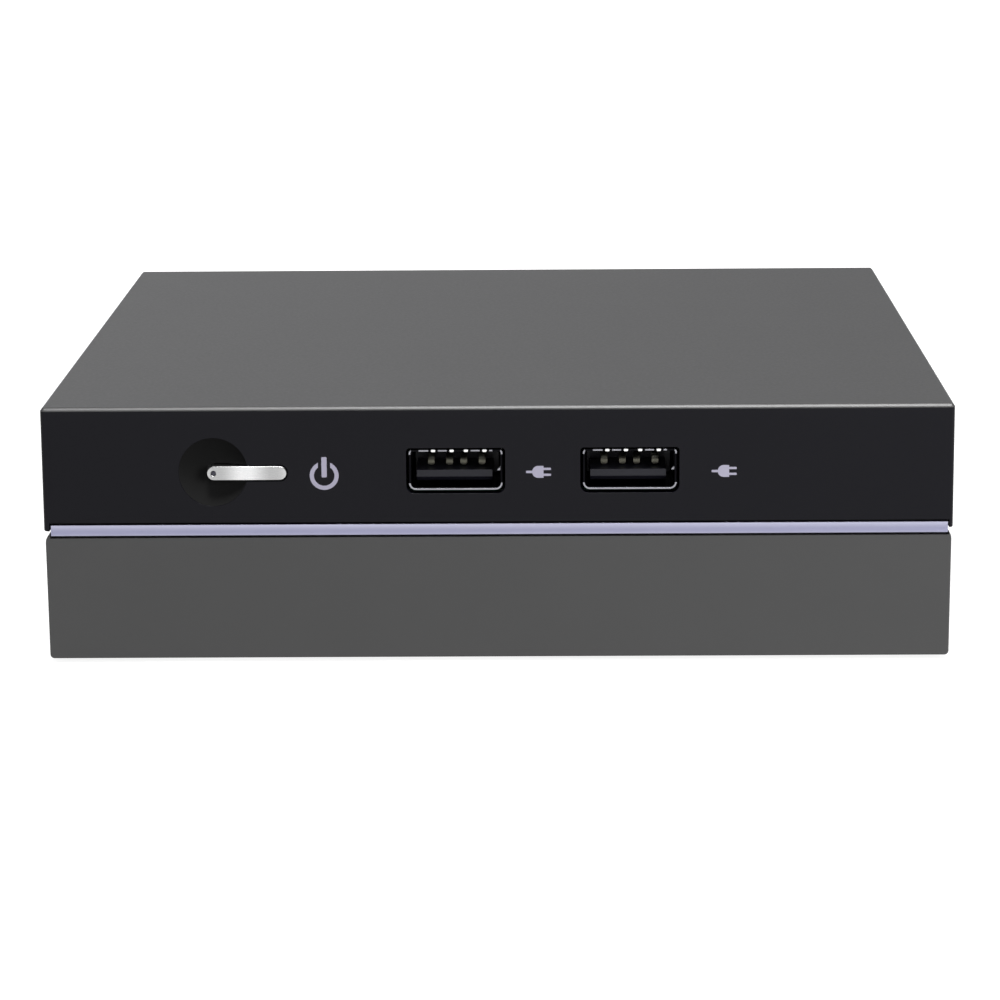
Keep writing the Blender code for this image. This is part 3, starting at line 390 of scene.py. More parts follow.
# Near-white polished metal for the USB roof lugs: partly polished metal, partly painted glint.
POLISHED_TIP_PAINTED_GLINT = plated("polished_tip_painted_glint", (0.90, 0.90, 0.89), (0.96, 0.96, 0.95), 0.12)
GOLD = plated("contact_gold", (0.60, 0.45, 0.22), (0.75, 0.58, 0.30), 0.25)
SPRING = plated("contact_spring", (0.17, 0.165, 0.13), (0.23, 0.225, 0.18), 0.42)
TONGUE = moulded("tongue_plastic", (0.012, 0.012, 0.019), (0.015, 0.015, 0.022), 0.35,
                 Specular_IOR_Level=0.35)
PORT_BLACK = moulded("port_plastic", (0.006, 0.006, 0.007), (0.010, 0.010, 0.011), 0.45)
BOARD = circuit_board("solder_resist")
CHIP = moulded("chip_package", (0.010, 0.010, 0.011), (0.015, 0.015, 0.016), 0.5)
ALUMINIUM = brushed("cooler_aluminium", (0.50, 0.51, 0.53), (0.62, 0.63, 0.65), 0.35, X_AXIS)
SHEET_STEEL = brushed("zinc_sheet", (0.36, 0.36, 0.38), (0.48, 0.48, 0.50), 0.35, Y_AXIS)
SCREW_STEEL = plated("black_zinc", (0.06, 0.06, 0.065), (0.10, 0.10, 0.11), 0.35)
MAGNET = plated("magnet_nickel", (0.55, 0.54, 0.51), (0.66, 0.65, 0.62), 0.18)
GREEN_LIGHT = polished("green_window", (0.10, 0.28, 0.10), (0.14, 0.34, 0.13), 0.2)
AMBER_LIGHT = polished("amber_window", (0.42, 0.24, 0.05), (0.50, 0.30, 0.08), 0.2)
FOAM = open_foam("dust_foam")
RUBBER = rubbery("foot_rubber", grey(0.012), grey(0.020))


# ---- Mesh tools ---------------------------------------------------------------------------------
def around(value, size):
    """The two ends of a size centred on a value."""
    return (value - size / 2, value + size / 2)


def corners(offset):
    """The (x, y) places at one distance from both middle lines."""
    return [(x, y) for x in (-offset, offset) for y in (-offset, offset)]


def block(x, y, z):
    """A box as a bmesh, given by its two ends on each axis."""
    bm = bmesh.new()
    middle = Vector((sum(x) / 2, sum(y) / 2, sum(z) / 2))
    size = Matrix.Diagonal((x[1] - x[0], y[1] - y[0], z[1] - z[0], 1.0))
    bmesh.ops.create_cube(bm, size=1.0, matrix=Matrix.Translation(middle) @ size)
    return bm


def turned_to(axis):
    """Turns a shape made along Z to run along another axis."""
    if axis == X_AXIS:
        return Matrix.Rotation(math.radians(90), 4, "Y")
    if axis == Y_AXIS:
        return Matrix.Rotation(math.radians(-90), 4, "X")
    return Matrix.Identity(4)


def disc(centre, radius, length, axis=Z_AXIS, segments=64, tip=None):
    """A cylinder about its centre as a bmesh, or a frustum if its far end has another radius."""
    bm = bmesh.new()
    bmesh.ops.create_cone(bm, cap_ends=True, segments=segments, radius1=radius,
                          radius2=radius if tip is None else tip, depth=length,
                          matrix=Matrix.Translation(centre) @ turned_to(axis))
    return bm


def stadium(centre, length, height, y, segments=64):
    """A round-ended bar along Y: a cylinder whose two halves are drawn apart in X."""
    bm = bmesh.new()
    half_step = Matrix.Rotation(math.pi / segments, 4, "Y")
    bmesh.ops.create_cone(bm, cap_ends=True, segments=segments, radius1=height / 2, radius2=height / 2,
                          depth=y[1] - y[0], matrix=half_step @ turned_to(Y_AXIS))
    for vertex in bm.verts:
        vertex.co.x += math.copysign((length - height) / 2, vertex.co.x)
    bmesh.ops.translate(bm, verts=bm.verts, vec=(centre[0], sum(y) / 2, centre[1]))
    return bm


def edges_along(bm, axis, wanted=lambda middle: True):
    """The straight edges that run along one axis and whose middle point is wanted."""
    found = []
    for edge in bm.edges:
        run = edge.verts[1].co - edge.verts[0].co
        middle = (edge.verts[0].co + edge.verts[1].co) / 2
        if abs(run[axis]) > 0.999 * run.length and wanted(middle):
            found.append(edge)
    return found


def rounded(bm, edges, radius, segments=6, profile=0.5):
    """Rounds some of a bmesh's edges."""
    bmesh.ops.bevel(bm, geom=list(edges), offset=radius, segments=segments, profile=profile, affect="EDGES")
    return bm


def bar(x, y, z, axis, radius, segments=6):
    """A box whose four edges along one axis are rounded."""
    bm = block(x, y, z)
    return rounded(bm, edges_along(bm, axis), radius, segments)


def extruded(points, along):
    """A flat polygon drawn out along a vector."""
    bm = bmesh.new()
    face = bm.faces.new([bm.verts.new(point) for point in points])
    grown = bmesh.ops.extrude_face_region(bm, geom=[face])["geom"]
    far = [item for item in grown if isinstance(item, bmesh.types.BMVert)]
    bmesh.ops.translate(bm, verts=far, vec=along)
    return bm


def plate(outline, y):
    """A plate between two depths whose outline is a list of (x, z) points."""
    return extruded([(x, y[0], z) for x, z in outline], (0.0, y[1] - y[0], 0.0))


def arc(centre, radius, start, end, count):
    """Points (x, z) on an arc, its angles in degrees from +X towards +Z."""
    angles = [math.radians(start + (end - start) * i / count) for i in range(count + 1)]
    return [(centre[0] + radius * math.cos(a), centre[1] + radius * math.sin(a)) for a in angles]


def bent_strip(route, x, thickness):
    """A sheet-metal strip between two x values whose middle line passes through (y, z) points."""
    upper, lower = [], []
    for i, point in enumerate(route):
        before, after = Vector(route[max(i - 1, 0)]), Vector(route[min(i + 1, len(route) - 1)])
        side = (after - before).normalized().orthogonal() * thickness / 2
        upper.append(Vector(point) + side)
        lower.append(Vector(point) - side)
    return extruded([(x[0], p.x, p.y) for p in upper + lower[::-1]], (x[1] - x[0], 0.0, 0.0))


def moved(bm, matrix):
    """A bmesh put in its place, with its normals brought up to date for the Booleans."""
    bm.transform(matrix)
    bm.normal_update()
    return bm


def joined(*meshes):
    """Several bmeshes as loose parts of one."""
    result = bmesh.new()
    for bm in meshes:
        mesh = bpy.data.meshes.new("part")
        bm.to_mesh(mesh)
        bm.free()
        result.from_mesh(mesh)
        bpy.data.meshes.remove(mesh)
    return result


def loose_object(name, bm):
    """An object for a closed bmesh that was laid out on the bench plane."""
    bmesh.ops.recalc_face_normals(bm, faces=bm.faces)
    bmesh.ops.translate(bm, verts=bm.verts, vec=BENCH)
    mesh = bpy.data.meshes.new(name)
    bm.to_mesh(mesh)
    bm.free()
    obj = bpy.data.objects.new(name, mesh)
    bpy.context.scene.collection.objects.link(obj)
    return obj


def apply_modifiers(obj):
    """Makes what the modifiers give the object's own mesh."""
    bpy.context.view_layer.update()
    graph = bpy.context.evaluated_depsgraph_get()
    mesh = bpy.data.meshes.new_from_object(obj.evaluated_get(graph))
    obj.modifiers.clear()
    obj.data = mesh


def combine(obj, meshes, operation):
    """Cuts the meshes from the object or joins them to it, in one Boolean."""
    if not meshes:
        return
    group = bpy.data.collections.new(operation)
    others = [loose_object("operand", bm) for bm in meshes]
    for other in others:
        group.objects.link(other)
    modifier = obj.modifiers.new(operation, "BOOLEAN")
    modifier.operation = operation
    modifier.operand_type = "COLLECTION"
    modifier.collection = group
    modifier.solver = "EXACT"
    apply_modifiers(obj)
    for other in others:
        bpy.data.objects.remove(other)
    bpy.data.collections.remove(group)


def soften(obj, width, segments):
    """Breaks every sharp edge, and shades flat faces flat and rounded ones smooth."""
    bevel = obj.modifiers.new("edges", "BEVEL")
    bevel.width = width
    bevel.segments = segments
    bevel.limit_method = "ANGLE"
    bevel.angle_limit = SHARP
    bevel.miter_outer = "MITER_ARC"
    normals = obj.modifiers.new("normals", "WEIGHTED_NORMAL")
    normals.keep_sharp = True
    normals.weight = 60


def piece(name, bm, body, finish, replaces=(), join=(), cut=(), soft=0.0, segments=3):
    """Finishes a shape: joins, cuts, softens its edges, gives it a material and lets it ride on a body."""
    obj = loose_object(name, bm)
    combine(obj, join, "UNION")
    combine(obj, cut, "DIFFERENCE")
    tidy = bmesh.new()
    tidy.from_mesh(obj.data)
    bmesh.ops.dissolve_limit(tidy, angle_limit=FLAT, verts=tidy.verts, edges=tidy.edges)
    tidy.to_mesh(obj.data)
    tidy.free()
    obj.data.materials.clear()
    obj.data.materials.append(finish)
    obj.data.shade_smooth()
    if soft:
        soften(obj, soft, segments)
    else:
        obj.data.set_sharp_from_angle(angle=SHARP)
    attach(obj, body)
    if replaces:
        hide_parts(*replaces)
    return obj


# ---- Sizes, read from the frame or chosen for the outside ---------------------------------------
LID_LOW, LID_HIGH = node_box("top_cover")
PANEL_LOW = node_box("front_panel")[0]
STRIP_LOW, STRIP_HIGH = node_box("accent_strip")
BUTTON_LOW, BUTTON_HIGH = node_box("power_button")
LIGHT_LOW, LIGHT_HIGH = node_box("status_light")
LIGHT_X = (LIGHT_LOW.x + LIGHT_HIGH.x) / 2
DOCK_LOW, DOCK_HIGH = node_box("dock_case")
HALF = LID_HIGH.x
FRONT = PANEL_LOW.y
RIM = 0.57 * MM
CORNER_RADIUS = 0.6 * MM
# The walls end a hair under the lid's rim, and hang a little below the frame's panel.
WALL_TOP = LID_HIGH.z - RIM - 0.04 * MM
WALL_FOOT = PANEL_LOW.z - 0.25 * MM
FOOT_RADIUS = 0.22 * MM
DOCK_TOP = 19.2 * MM
STRIP_ENDS = (STRIP_LOW.x + 0.27 * MM, STRIP_HIGH.x)
REBATE_ENDS = (STRIP_ENDS[0] - 0.15 * MM, STRIP_ENDS[1] + 0.15 * MM)
VENT_Z = (24.5 * MM, 33.5 * MM)
# Cutters span these: the whole machine from side to side, or its rear wall from inside to out.
ACROSS = (-70 * MM, 70 * MM)
REAR_WALL = (60 * MM, 70 * MM)


# ---- Lid ----------------------------------------------------------------------------------------
def lid():
    """Lid plate with a softly rounded rim, on a plate and bosses that drop inside the shell."""
    bm = block((-HALF, HALF), (-HALF, HALF), (LID_HIGH.z - RIM, LID_HIGH.z))
    rounded(bm, edges_along(bm, Z_AXIS), CORNER_RADIUS, 6)
    top = [e for e in bm.edges if all(v.co.z > LID_HIGH.z - 0.01 * MM for v in e.verts)]
    rounded(bm, top, 0.5 * MM, 6, 0.35)
    inner = HALF - 2.1 * MM
    deck = block((-inner, inner), (-inner, inner), (LID_HIGH.z - 1.6 * MM, LID_HIGH.z - 0.3 * MM))
    bosses = [disc((x, y, (LID_LOW.z + LID_HIGH.z - MM) / 2), 3.0 * MM, LID_HIGH.z - LID_LOW.z - MM)
              for x, y in corners(57.5 * MM)]
    obj = piece("lid", bm, "host", SHELL_GREY, ["top_cover"], join=[deck, *bosses])
    normals = obj.modifiers.new("normals", "WEIGHTED_NORMAL")
    normals.keep_sharp = True


# ---- Front panel --------------------------------------------------------------------------------
DISH = Vector((-39.88, 0.0, 27.72)) * MM
DISH_RADIUS = 4.87 * MM
DISH_DEPTH = 1.50 * MM
DISH_SEAT = 1.6 * MM
INK = (FRONT - 0.02 * MM, FRONT + 0.06 * MM)
PORT_Z = 27.84 * MM
USB_X = {"left": -5.82 * MM, "right": 18.6 * MM}
USB_OPENING = (13.9 * MM, 6.5 * MM)
PLUG_SYMBOL_X = {"left": 5.85 * MM, "right": 31.85 * MM}
BUTTON_X = (BUTTON_LOW.x + BUTTON_HIGH.x) / 2
BUTTON_Z = (BUTTON_LOW.z + BUTTON_HIGH.z) / 2
BUTTON_CENTRE = (BUTTON_X, BUTTON_Z - 0.08 * MM)


def panel():
    """Gloss front plate with a ground finger dish, the button's slot and two port openings."""
    back = FRONT + 2.0 * MM
    bm = block((-HALF, HALF), (FRONT, back), (WALL_FOOT, WALL_TOP))
    rounded(bm, edges_along(bm, Z_AXIS, lambda m: m.y < FRONT + MM), CORNER_RADIUS, 6)
    rounded(bm, lower_rim(bm, lambda m: m.y < back - 0.01 * MM), FOOT_RADIUS, 4)
    through = (FRONT - 2 * MM, back + 2 * MM)
    seat = disc((DISH.x, FRONT, DISH.z), DISH_RADIUS, 2 * DISH_SEAT, Y_AXIS, 128)
    slot = button_slot(through)
    ports = [mouth((x, PORT_Z - 0.1 * MM), USB_OPENING, through, 1.2 * MM, 0.5 * MM) for x in USB_X.values()]
    rebate = block(REBATE_ENDS, (FRONT - MM, FRONT + 1.4 * MM), (18.0 * MM, STRIP_HIGH.z + 0.14 * MM))
    tabs = [block(around(x, 8 * MM), (back - 0.5 * MM, back + 4 * MM), (32.5 * MM, 34.0 * MM))
            for x in (-50 * MM, 50 * MM)]
    piece("panel", bm, "host", PANEL_BLACK, ["front_panel"], join=tabs,
          cut=[seat, slot, rebate, *ports], soft=0.03 * MM, segments=2)


def lower_rim(bm, wanted):
    """The edges round a wall's foot whose middle point is wanted."""
    foot = [e for e in bm.edges if all(v.co.z < WALL_FOOT + 0.01 * MM for v in e.verts)]
    return [e for e in foot if wanted((e.verts[0].co + e.verts[1].co) / 2)]


def mouth(centre, size, y, low_radius, high_radius):
    """A box across a port's mouth, more rounded at its lower corners than at its upper ones."""
    bm = block(around(centre[0], size[0]), y, around(centre[1], size[1]))
    rounded(bm, edges_along(bm, Y_AXIS, lambda m: m.z < centre[1]), low_radius, 8)
    return rounded(bm, edges_along(bm, Y_AXIS, lambda m: m.z > centre[1]), high_radius, 6)


def button_slot(y):
    """The slot that the button sits in, between two depths."""
    return stadium(BUTTON_CENTRE, 11.60 * MM, 2.38 * MM, y)


def finger_dish():
    """Matt round recess that a fingertip finds, let into the gloss panel round the button's left end."""
    gap = 0.01 * MM
    bm = disc((DISH.x, FRONT + (DISH_SEAT + 0.02 * MM) / 2, DISH.z), DISH_RADIUS - gap, DISH_SEAT - 0.02 * MM,
              Y_AXIS, 128)
    sphere_radius = (DISH_RADIUS**2 + DISH_DEPTH**2) / (2 * DISH_DEPTH)
    hollow = bmesh.new()
    bmesh.ops.create_uvsphere(hollow, u_segments=128, v_segments=128, radius=sphere_radius,
                              matrix=turned_to(Y_AXIS))
    bmesh.ops.translate(hollow, verts=hollow.verts, vec=(DISH.x, FRONT + DISH_DEPTH - sphere_radius, DISH.z))
    piece("finger_dish", bm, "host", DISH_BLACK,
          cut=[hollow, button_slot((FRONT - MM, FRONT + 3 * MM))])


def power_symbol():
    """Open ring with an upright bar in its gap, printed on the panel."""
    centre = (-24.28 * MM, 27.14 * MM)
    outer, inner = 2.03 * MM, 1.44 * MM
    half_gap = 0.86 * MM
    lean_out = math.degrees(math.asin(half_gap / outer))
    lean_in = math.degrees(math.asin(half_gap / inner))
    ring = arc(centre, outer, 90 + lean_out, 450 - lean_out, 96)
    ring += arc(centre, inner, 450 - lean_in, 90 + lean_in, 96)
    upright = bar(around(centre[0], 0.74 * MM), INK, (26.90 * MM, 29.80 * MM), Y_AXIS, 0.14 * MM)
    piece("power_symbol", joined(plate(ring, INK), upright), "host", PRINT)


def plug_symbol(side, x):
    """Plain plug beside its socket: a lead, a round-backed body and two prongs."""
    z = 27.54 * MM
    half_body = 0.85 * MM
    body = arc((x - 0.1 * MM, z), half_body, 90, 270, 32)
    body += [(x + 0.35 * MM, z - half_body), (x + 0.35 * MM, z + half_body)]
    lead = bar((x - 1.8 * MM, x - 0.8 * MM), INK, around(z, 0.34 * MM), Y_AXIS, 0.1 * MM)
    prongs = [bar((x + 0.55 * MM, x + 1.7 * MM), INK, around(z + dz, 0.32 * MM), Y_AXIS, 0.1 * MM)
              for dz in (-0.42 * MM, 0.42 * MM)]
    root = bar((x + 0.3 * MM, x + 0.65 * MM), INK, around(z, 1.7 * MM), Y_AXIS, 0.05 * MM)
    piece(f"plug_symbol_{side}", plate(body, INK), "host", PRINT,
          join=[lead, root, *prongs])


# ---- Host walls ---------------------------------------------------------------------------------
REAR_USB_X = {"left": -20 * MM, "right": -4 * MM}
REAR_PORT_Z = sum(corner.z for corner in node_box("video_shell")) / 2
AUDIO_X = -33 * MM
POWER_X = 47 * MM
POWER_Z = 29.8 * MM


def vent_row(count, pitch, middle):
    """The places of a row of vents that is centred on a value."""
    first = middle - pitch * (count - 1) / 2
    return [first + i * pitch for i in range(count)]


def host_walls():
    """Side and rear walls in one U, with slotted vents and the openings of the rear sockets."""
    low, high = node_box("host_frame")
    bm = block((low.x, high.x), (low.y, high.y), (WALL_FOOT, WALL_TOP))
    rounded(bm, edges_along(bm, Z_AXIS, lambda m: m.y > 0), CORNER_RADIUS, 6)
    rounded(bm, lower_rim(bm, lambda m: m.y > low.y + 0.01 * MM), FOOT_RADIUS, 4)
    inner = HALF - 1.8 * MM
    cutters = [block((-inner, inner), (ACROSS[0], inner), (10 * MM, 50 * MM))]
    slot, slot_radius = 1.6 * MM, 0.7 * MM
    for y in vent_row(16, 3 * MM, 0.0):
        cutters.append(bar(ACROSS, around(y, slot), VENT_Z, X_AXIS, slot_radius, 5))
    for x in vent_row(6, 3 * MM, -48.5 * MM):
        cutters.append(bar(around(x, slot), REAR_WALL, VENT_Z, Y_AXIS, slot_radius, 5))
    for x in REAR_USB_X.values():
        cutters.append(bar(around(x, USB_OPENING[0]), REAR_WALL, around(PORT_Z, USB_OPENING[1]),
                           Y_AXIS, 1.2 * MM, 8))
    jack_low, jack_high = node_box("network_jack")
    gap = 0.3 * MM
    cutters.append(bar((jack_low.x - gap, jack_high.x + gap), REAR_WALL,
                       (jack_low.z - gap, jack_high.z + gap), Y_AXIS, 0.3 * MM, 4))
    video_low, video_high = node_box("video_shell")
    cutters.append(bar((video_low.x - 0.4 * MM, video_high.x + 0.4 * MM), REAR_WALL,
                       around(REAR_PORT_Z, 6.4 * MM), Y_AXIS, MM, 6))
    for x, z, radius in ((AUDIO_X, REAR_PORT_Z, 3.2 * MM), (POWER_X, POWER_Z, 4.0 * MM)):
        cutters.append(disc((x, 65 * MM, z), radius, 10 * MM, Y_AXIS, 64))
    piece("host_walls", bm, "host", SHELL_BLACK, ["host_frame"],
          cut=cutters, soft=0.10 * MM, segments=2)


def dust_screen(side, facing):
    """Foam sheet behind the vents of one side wall."""
    bm = block(around(facing * 61.45 * MM, 0.5 * MM), around(0.0, 48.4 * MM), (24.0 * MM, 34.2 * MM))
    piece(f"dust_screen_{side}", bm, "host", FOAM, soft=0.1 * MM, segments=2)


# ---- Accent strip -------------------------------------------------------------------------------
def strip():
    """Lavender metal strip across the seam, with painted sheen that makes it brightest towards its upper
    edge.
    """
    foot, top = STRIP_LOW.z - 0.10 * MM, STRIP_HIGH.z - 0.20 * MM
    # These tones are painted sheen: light at the foot, darkest below the middle, lightest at the top.
    tones = ((0.08, (0.40, 0.40, 0.53)), (0.26, (0.335, 0.335, 0.475)), (0.44, (0.32, 0.32, 0.455)),
             (0.64, (0.38, 0.38, 0.51)), (0.88, (0.49, 0.49, 0.63)))
    metal = painted_sheen_metal("lavender_metal", tones, 0.32, foot + BENCH.z, top + BENCH.z)
    bm = block(STRIP_ENDS, (STRIP_LOW.y, STRIP_HIGH.y), (foot, top))
    lower_front = edges_along(bm, X_AXIS, lambda m: m.y < STRIP_LOW.y + 0.1 * MM and m.z < 19 * MM)
    rounded(bm, lower_front, 0.24 * MM, 4)
    piece("strip", bm, "host", metal, ["accent_strip"], soft=0.04 * MM, segments=2)


# ---- Dock case ----------------------------------------------------------------------------------
def dock_shell():
    """Lower tier: drafted case with round shoulders, vents, posts, pins and the rebate for the strip."""
    half = DOCK_HIGH.x
    draft = 0.1 * MM
    bm = block((-half, half), (-half, half), (DOCK_LOW.z, DOCK_TOP))
    for vertex in bm.verts:
        if vertex.co.z < DOCK_LOW.z + MM:
            vertex.co.x -= math.copysign(draft, vertex.co.x)
            vertex.co.y -= math.copysign(draft, vertex.co.y)
    rounded(bm, edges_along(bm, Y_AXIS, lambda m: m.z > 10 * MM), 1.65 * MM, 12)
    rounded(bm, edges_along(bm, Y_AXIS, lambda m: m.z < DOCK_LOW.z + 0.01 * MM), 0.6 * MM, 6)
    for side in (-1, 1):
        end = max(bm.faces, key=lambda face: side * face.calc_center_median().y)
        rounded(bm, list(end.edges), 0.25 * MM, 4)
    inner = half - 2.0 * MM
    hollow = block((-inner, inner), (-inner, inner), (0.0, 17.4 * MM))
    screw_places = corners(55 * MM)
    posts = [disc((x, y, 11.25 * MM), 3.5 * MM, 13.5 * MM) for x, y in screw_places]
    pins = [disc((x, y, 19.7 * MM), 2.5 * MM, 3.0 * MM, tip=1.8 * MM)
            for x, y in ((-50 * MM, 48 * MM), (50 * MM, -48 * MM))]
    board_posts = [disc((x, 57 * MM, 15.4 * MM), 2.2 * MM, 5.0 * MM, segments=32)
                   for x in (-26 * MM, 26 * MM)]
    strip_rebate = block(REBATE_ENDS, (-65 * MM, -62.2 * MM), (STRIP_LOW.z - 0.36 * MM, 20 * MM))
    screw_holes = [disc((x, y, 8 * MM), 1.45 * MM, 10 * MM, segments=32) for x, y in screw_places]
    magnet_seats = [disc((x, 0.0, DOCK_TOP), 4.3 * MM, 2.4 * MM) for x in (-50 * MM, 50 * MM)]
    plug_slot = bar((-12.6 * MM, 12.6 * MM), (52.0 * MM, 58.0 * MM), (16.5 * MM, 20 * MM),
                    Z_AXIS, 0.8 * MM, 5)
    cutters = [strip_rebate, *screw_holes, *magnet_seats, plug_slot]
    for y in vent_row(6, 12 * MM, 0.0):
        cutters.append(bar(ACROSS, around(y, 8 * MM), (8.8 * MM, 10.4 * MM), X_AXIS, 0.6 * MM, 6))
    # The hollow is cut before anything is joined, so that the posts stand in it.
    obj = loose_object("dock_shell", bm)
    combine(obj, [hollow], "DIFFERENCE")
    shell = bmesh.new()
    shell.from_mesh(obj.data)
    bmesh.ops.translate(shell, verts=shell.verts, vec=-BENCH)
    bpy.data.objects.remove(obj)
    piece("dock_shell", shell, "dock", SHELL_GREY, ["dock_case"],
          join=[*posts, *pins, *board_posts], cut=cutters, soft=0.12 * MM, segments=2)


# ---- Power button -------------------------------------------------------------------------------
def button():
    """Bright bar with a softened rim, holed for the light guide."""
    bm = stadium(BUTTON_CENTRE, 11.14 * MM, 1.96 * MM, (BUTTON_LOW.y, -61.8 * MM), 96)
    piece("button", bm, "power_button", BUTTON_METAL, ["power_button"],
          cut=[light_hole()], soft=0.08 * MM, segments=4)


def button_carrier():
    """Black moulding that the bar is clipped to: a flange that keeps it in, and a stem towards the switch."""
    bm = stadium(BUTTON_CENTRE, 13.6 * MM, 4.2 * MM, (-61.7 * MM, -60.9 * MM))
    stem = disc((BUTTON_X, -59.6 * MM, BUTTON_Z), 1.2 * MM, 3.0 * MM, Y_AXIS, 32)
    piece("button_carrier", bm, "power_button", PORT_BLACK,
          join=[stem], cut=[light_hole()], soft=0.1 * MM, segments=2)


def light_hole():
    """The hole that the light guide fills, through the button and its carrier."""
    return disc((LIGHT_X, -62.5 * MM, BUTTON_CENTRE[1]), 0.37 * MM, 5.0 * MM, Y_AXIS, 48)


def light_guide():
    """Smoked lens that shows the status light in the button's left end."""
    bm = disc((LIGHT_X, (LIGHT_LOW.y + LIGHT_HIGH.y) / 2, BUTTON_CENTRE[1]), 0.35 * MM,
              LIGHT_HIGH.y - LIGHT_LOW.y, Y_AXIS, 48)
    piece("light_guide", bm, "power_button", LENS, ["status_light"], soft=0.08 * MM)


# ---- USB sockets --------------------------------------------------------------------------------
# Width, depth and height of a shell, and how far its mouth is from the machine's middle.
USB_SHELL = Vector((13.14, 14.0, 5.72)) * MM
USB_FACE = 63.8 * MM
SHEET = 0.3 * MM
LIP = 0.25 * MM
CONTACT_X = [offset * MM for offset in (-3.55, -0.95, 1.05, 3.65)]
# The roof's bright lugs, polished metal that paints glints over the contacts, sit this far to one side of the
# contacts.
LUG_LEAN = 0.4 * MM


def usb_socket(name, x, face, facing, shell_finish):
    """A USB-A socket: folded shell with spring fingers, its lips, the tongue and four sprung contacts."""
    seat = Matrix.Translation((x, face, PORT_Z)) @ Matrix.Diagonal((facing, facing, 1.0, 1.0))
    wide, deep, high = USB_SHELL
    outer = (wide, high)
    inner = (wide - 2 * SHEET, high - 2 * SHEET)

    tube = moved(mouth((0, 0), outer, (LIP, deep), MM, 0.45 * MM), seat)
    hollow = moved(mouth((0, 0), inner, (-MM, deep - SHEET), 0.7 * MM, 0.2 * MM), seat)
    piece(f"{name}_socket_shell", tube, "host", shell_finish, [f"{name}_shell"],
          cut=[hollow], soft=0.05 * MM, segments=2)

    # Two spring fingers under the roof, and a tooth on one side wall, in bright metal that paints highlights
    # inside the shell.
    fingers = []
    level = inner[1] / 2 - 0.04 * MM
    for dx in (-3.2 * MM, 3.2 * MM):
        route = [(2.6 * MM, level), (4.2 * MM, level - 0.42 * MM),
                 (5.0 * MM, level - 0.48 * MM), (9.5 * MM, level)]
        fingers.append(moved(bent_strip(route, around(dx, 2.0 * MM), 0.2 * MM), seat))
    wall = inner[0] / 2 + 0.05 * MM
    tooth = [(wall, -0.28 * MM), (wall, 0.24 * MM),
             (wall - 0.2 * MM, 0.20 * MM), (wall - 0.55 * MM, -0.28 * MM)]
    fingers.append(moved(plate(tooth, (0.9 * MM, 1.6 * MM)), seat))
    piece(f"{name}_fingers", joined(*fingers), "host", CUT_EDGE_PAINTED_HIGHLIGHT,
          soft=0.03 * MM, segments=2)

    # The bright front lip, bare cut edge and painted highlight: whole below, none at the sides, dashes above
    # with a lug over each contact.
    rim = moved(mouth((0, 0), outer, (0.0, LIP - 0.01 * MM), MM, 0.45 * MM), seat)
    through = (-MM, MM)
    upper = (MM, 4 * MM)
    middle = moved(mouth((0, 0), (wide - 0.44 * MM, high - 0.44 * MM), through, 0.8 * MM, 0.25 * MM), seat)
    gaps = [moved(block((-wide, wide), through, (-1.9 * MM, 2.2 * MM)), seat)]
    for dx in (-wide / 2 + 0.85 * MM, wide / 2 - 0.85 * MM):
        gaps.append(moved(block(around(dx, 1.1 * MM), through, upper), seat))
    gaps.append(moved(block(around(LUG_LEAN, 1.6 * MM), through, upper), seat))
    for dx in CONTACT_X:
        gaps.append(moved(block(around(dx + LUG_LEAN, 1.35 * MM), through, upper), seat))
    piece(f"{name}_lips", rim, "host", CUT_EDGE_PAINTED_HIGHLIGHT, cut=[middle, *gaps], soft=0.05 * MM)
    lugs = [moved(bar(around(dx + LUG_LEAN, 0.64 * MM), (0.02 * MM, 0.24 * MM), around(2.74 * MM, 0.44 * MM),
                      Y_AXIS, 0.18 * MM), seat) for dx in CONTACT_X]
    piece(f"{name}_lugs", joined(*lugs), "host", POLISHED_TIP_PAINTED_GLINT, soft=0.06 * MM)

    # The tongue, on a root that fills the back of the shell.
    tongue = block(around(-0.2 * MM, 10.7 * MM), (1.6 * MM, 13.5 * MM), (-1.9 * MM, -0.3 * MM))
    tip = edges_along(tongue, X_AXIS, lambda m: m.y < 2 * MM and m.z < -MM)
    rounded(tongue, tip, 0.6 * MM, 1)
    root = moved(block(around(0, 11.9 * MM), (9.5 * MM, 13.4 * MM), around(0, 4.6 * MM)), seat)
    piece(f"{name}_insert", moved(tongue, seat), "host", TONGUE, [f"{name}_tongue"],
          join=[root], soft=0.10 * MM)

    # Contacts that rise out of the tongue, bend round a quarter ellipse and run to the back.
    springs = []
    nose = (4.12 * MM, 0.55 * MM)
    bend = [math.radians(angle) for angle in range(15, 91, 15)]
    route = [(nose[0], -0.12 * MM), nose]
    route += [(nose[0] + 2.4 * MM * (1.0 - math.cos(t)), nose[1] + MM * math.sin(t)) for t in bend]
    route.append((9.6 * MM, 0.8 * MM))
    for dx in CONTACT_X:
        spring = bent_strip(route, around(dx, 1.0 * MM), 0.18 * MM)
        rounded(spring, edges_along(spring, Y_AXIS, lambda m: m.z < 0.0), 0.36 * MM, 6)
        springs.append(moved(spring, seat))
    piece(f"{name}_contacts", joined(*springs), "host", SPRING, soft=0.06 * MM, segments=3)


# ---- Rear sockets' contacts and lights ----------------------------------------------------------
def video_contacts():
    """Nineteen pads on the two faces of the video socket's tongue."""
    low, high = node_box("video_tongue")
    middle = (low.x + high.x) / 2
    pads = []
    for face, count in ((REAR_PORT_Z + 0.9 * MM, 10), (REAR_PORT_Z - 0.1 * MM, 9)):
        for i in range(count):
            x = middle + (i - (count - 1) / 2) * MM
            pads.append(block(around(x, 0.45 * MM), (low.y + 4 * MM, high.y - 0.4 * MM),
                              around(face, 0.08 * MM)))
    piece("video_contacts", joined(*pads), "host", GOLD)


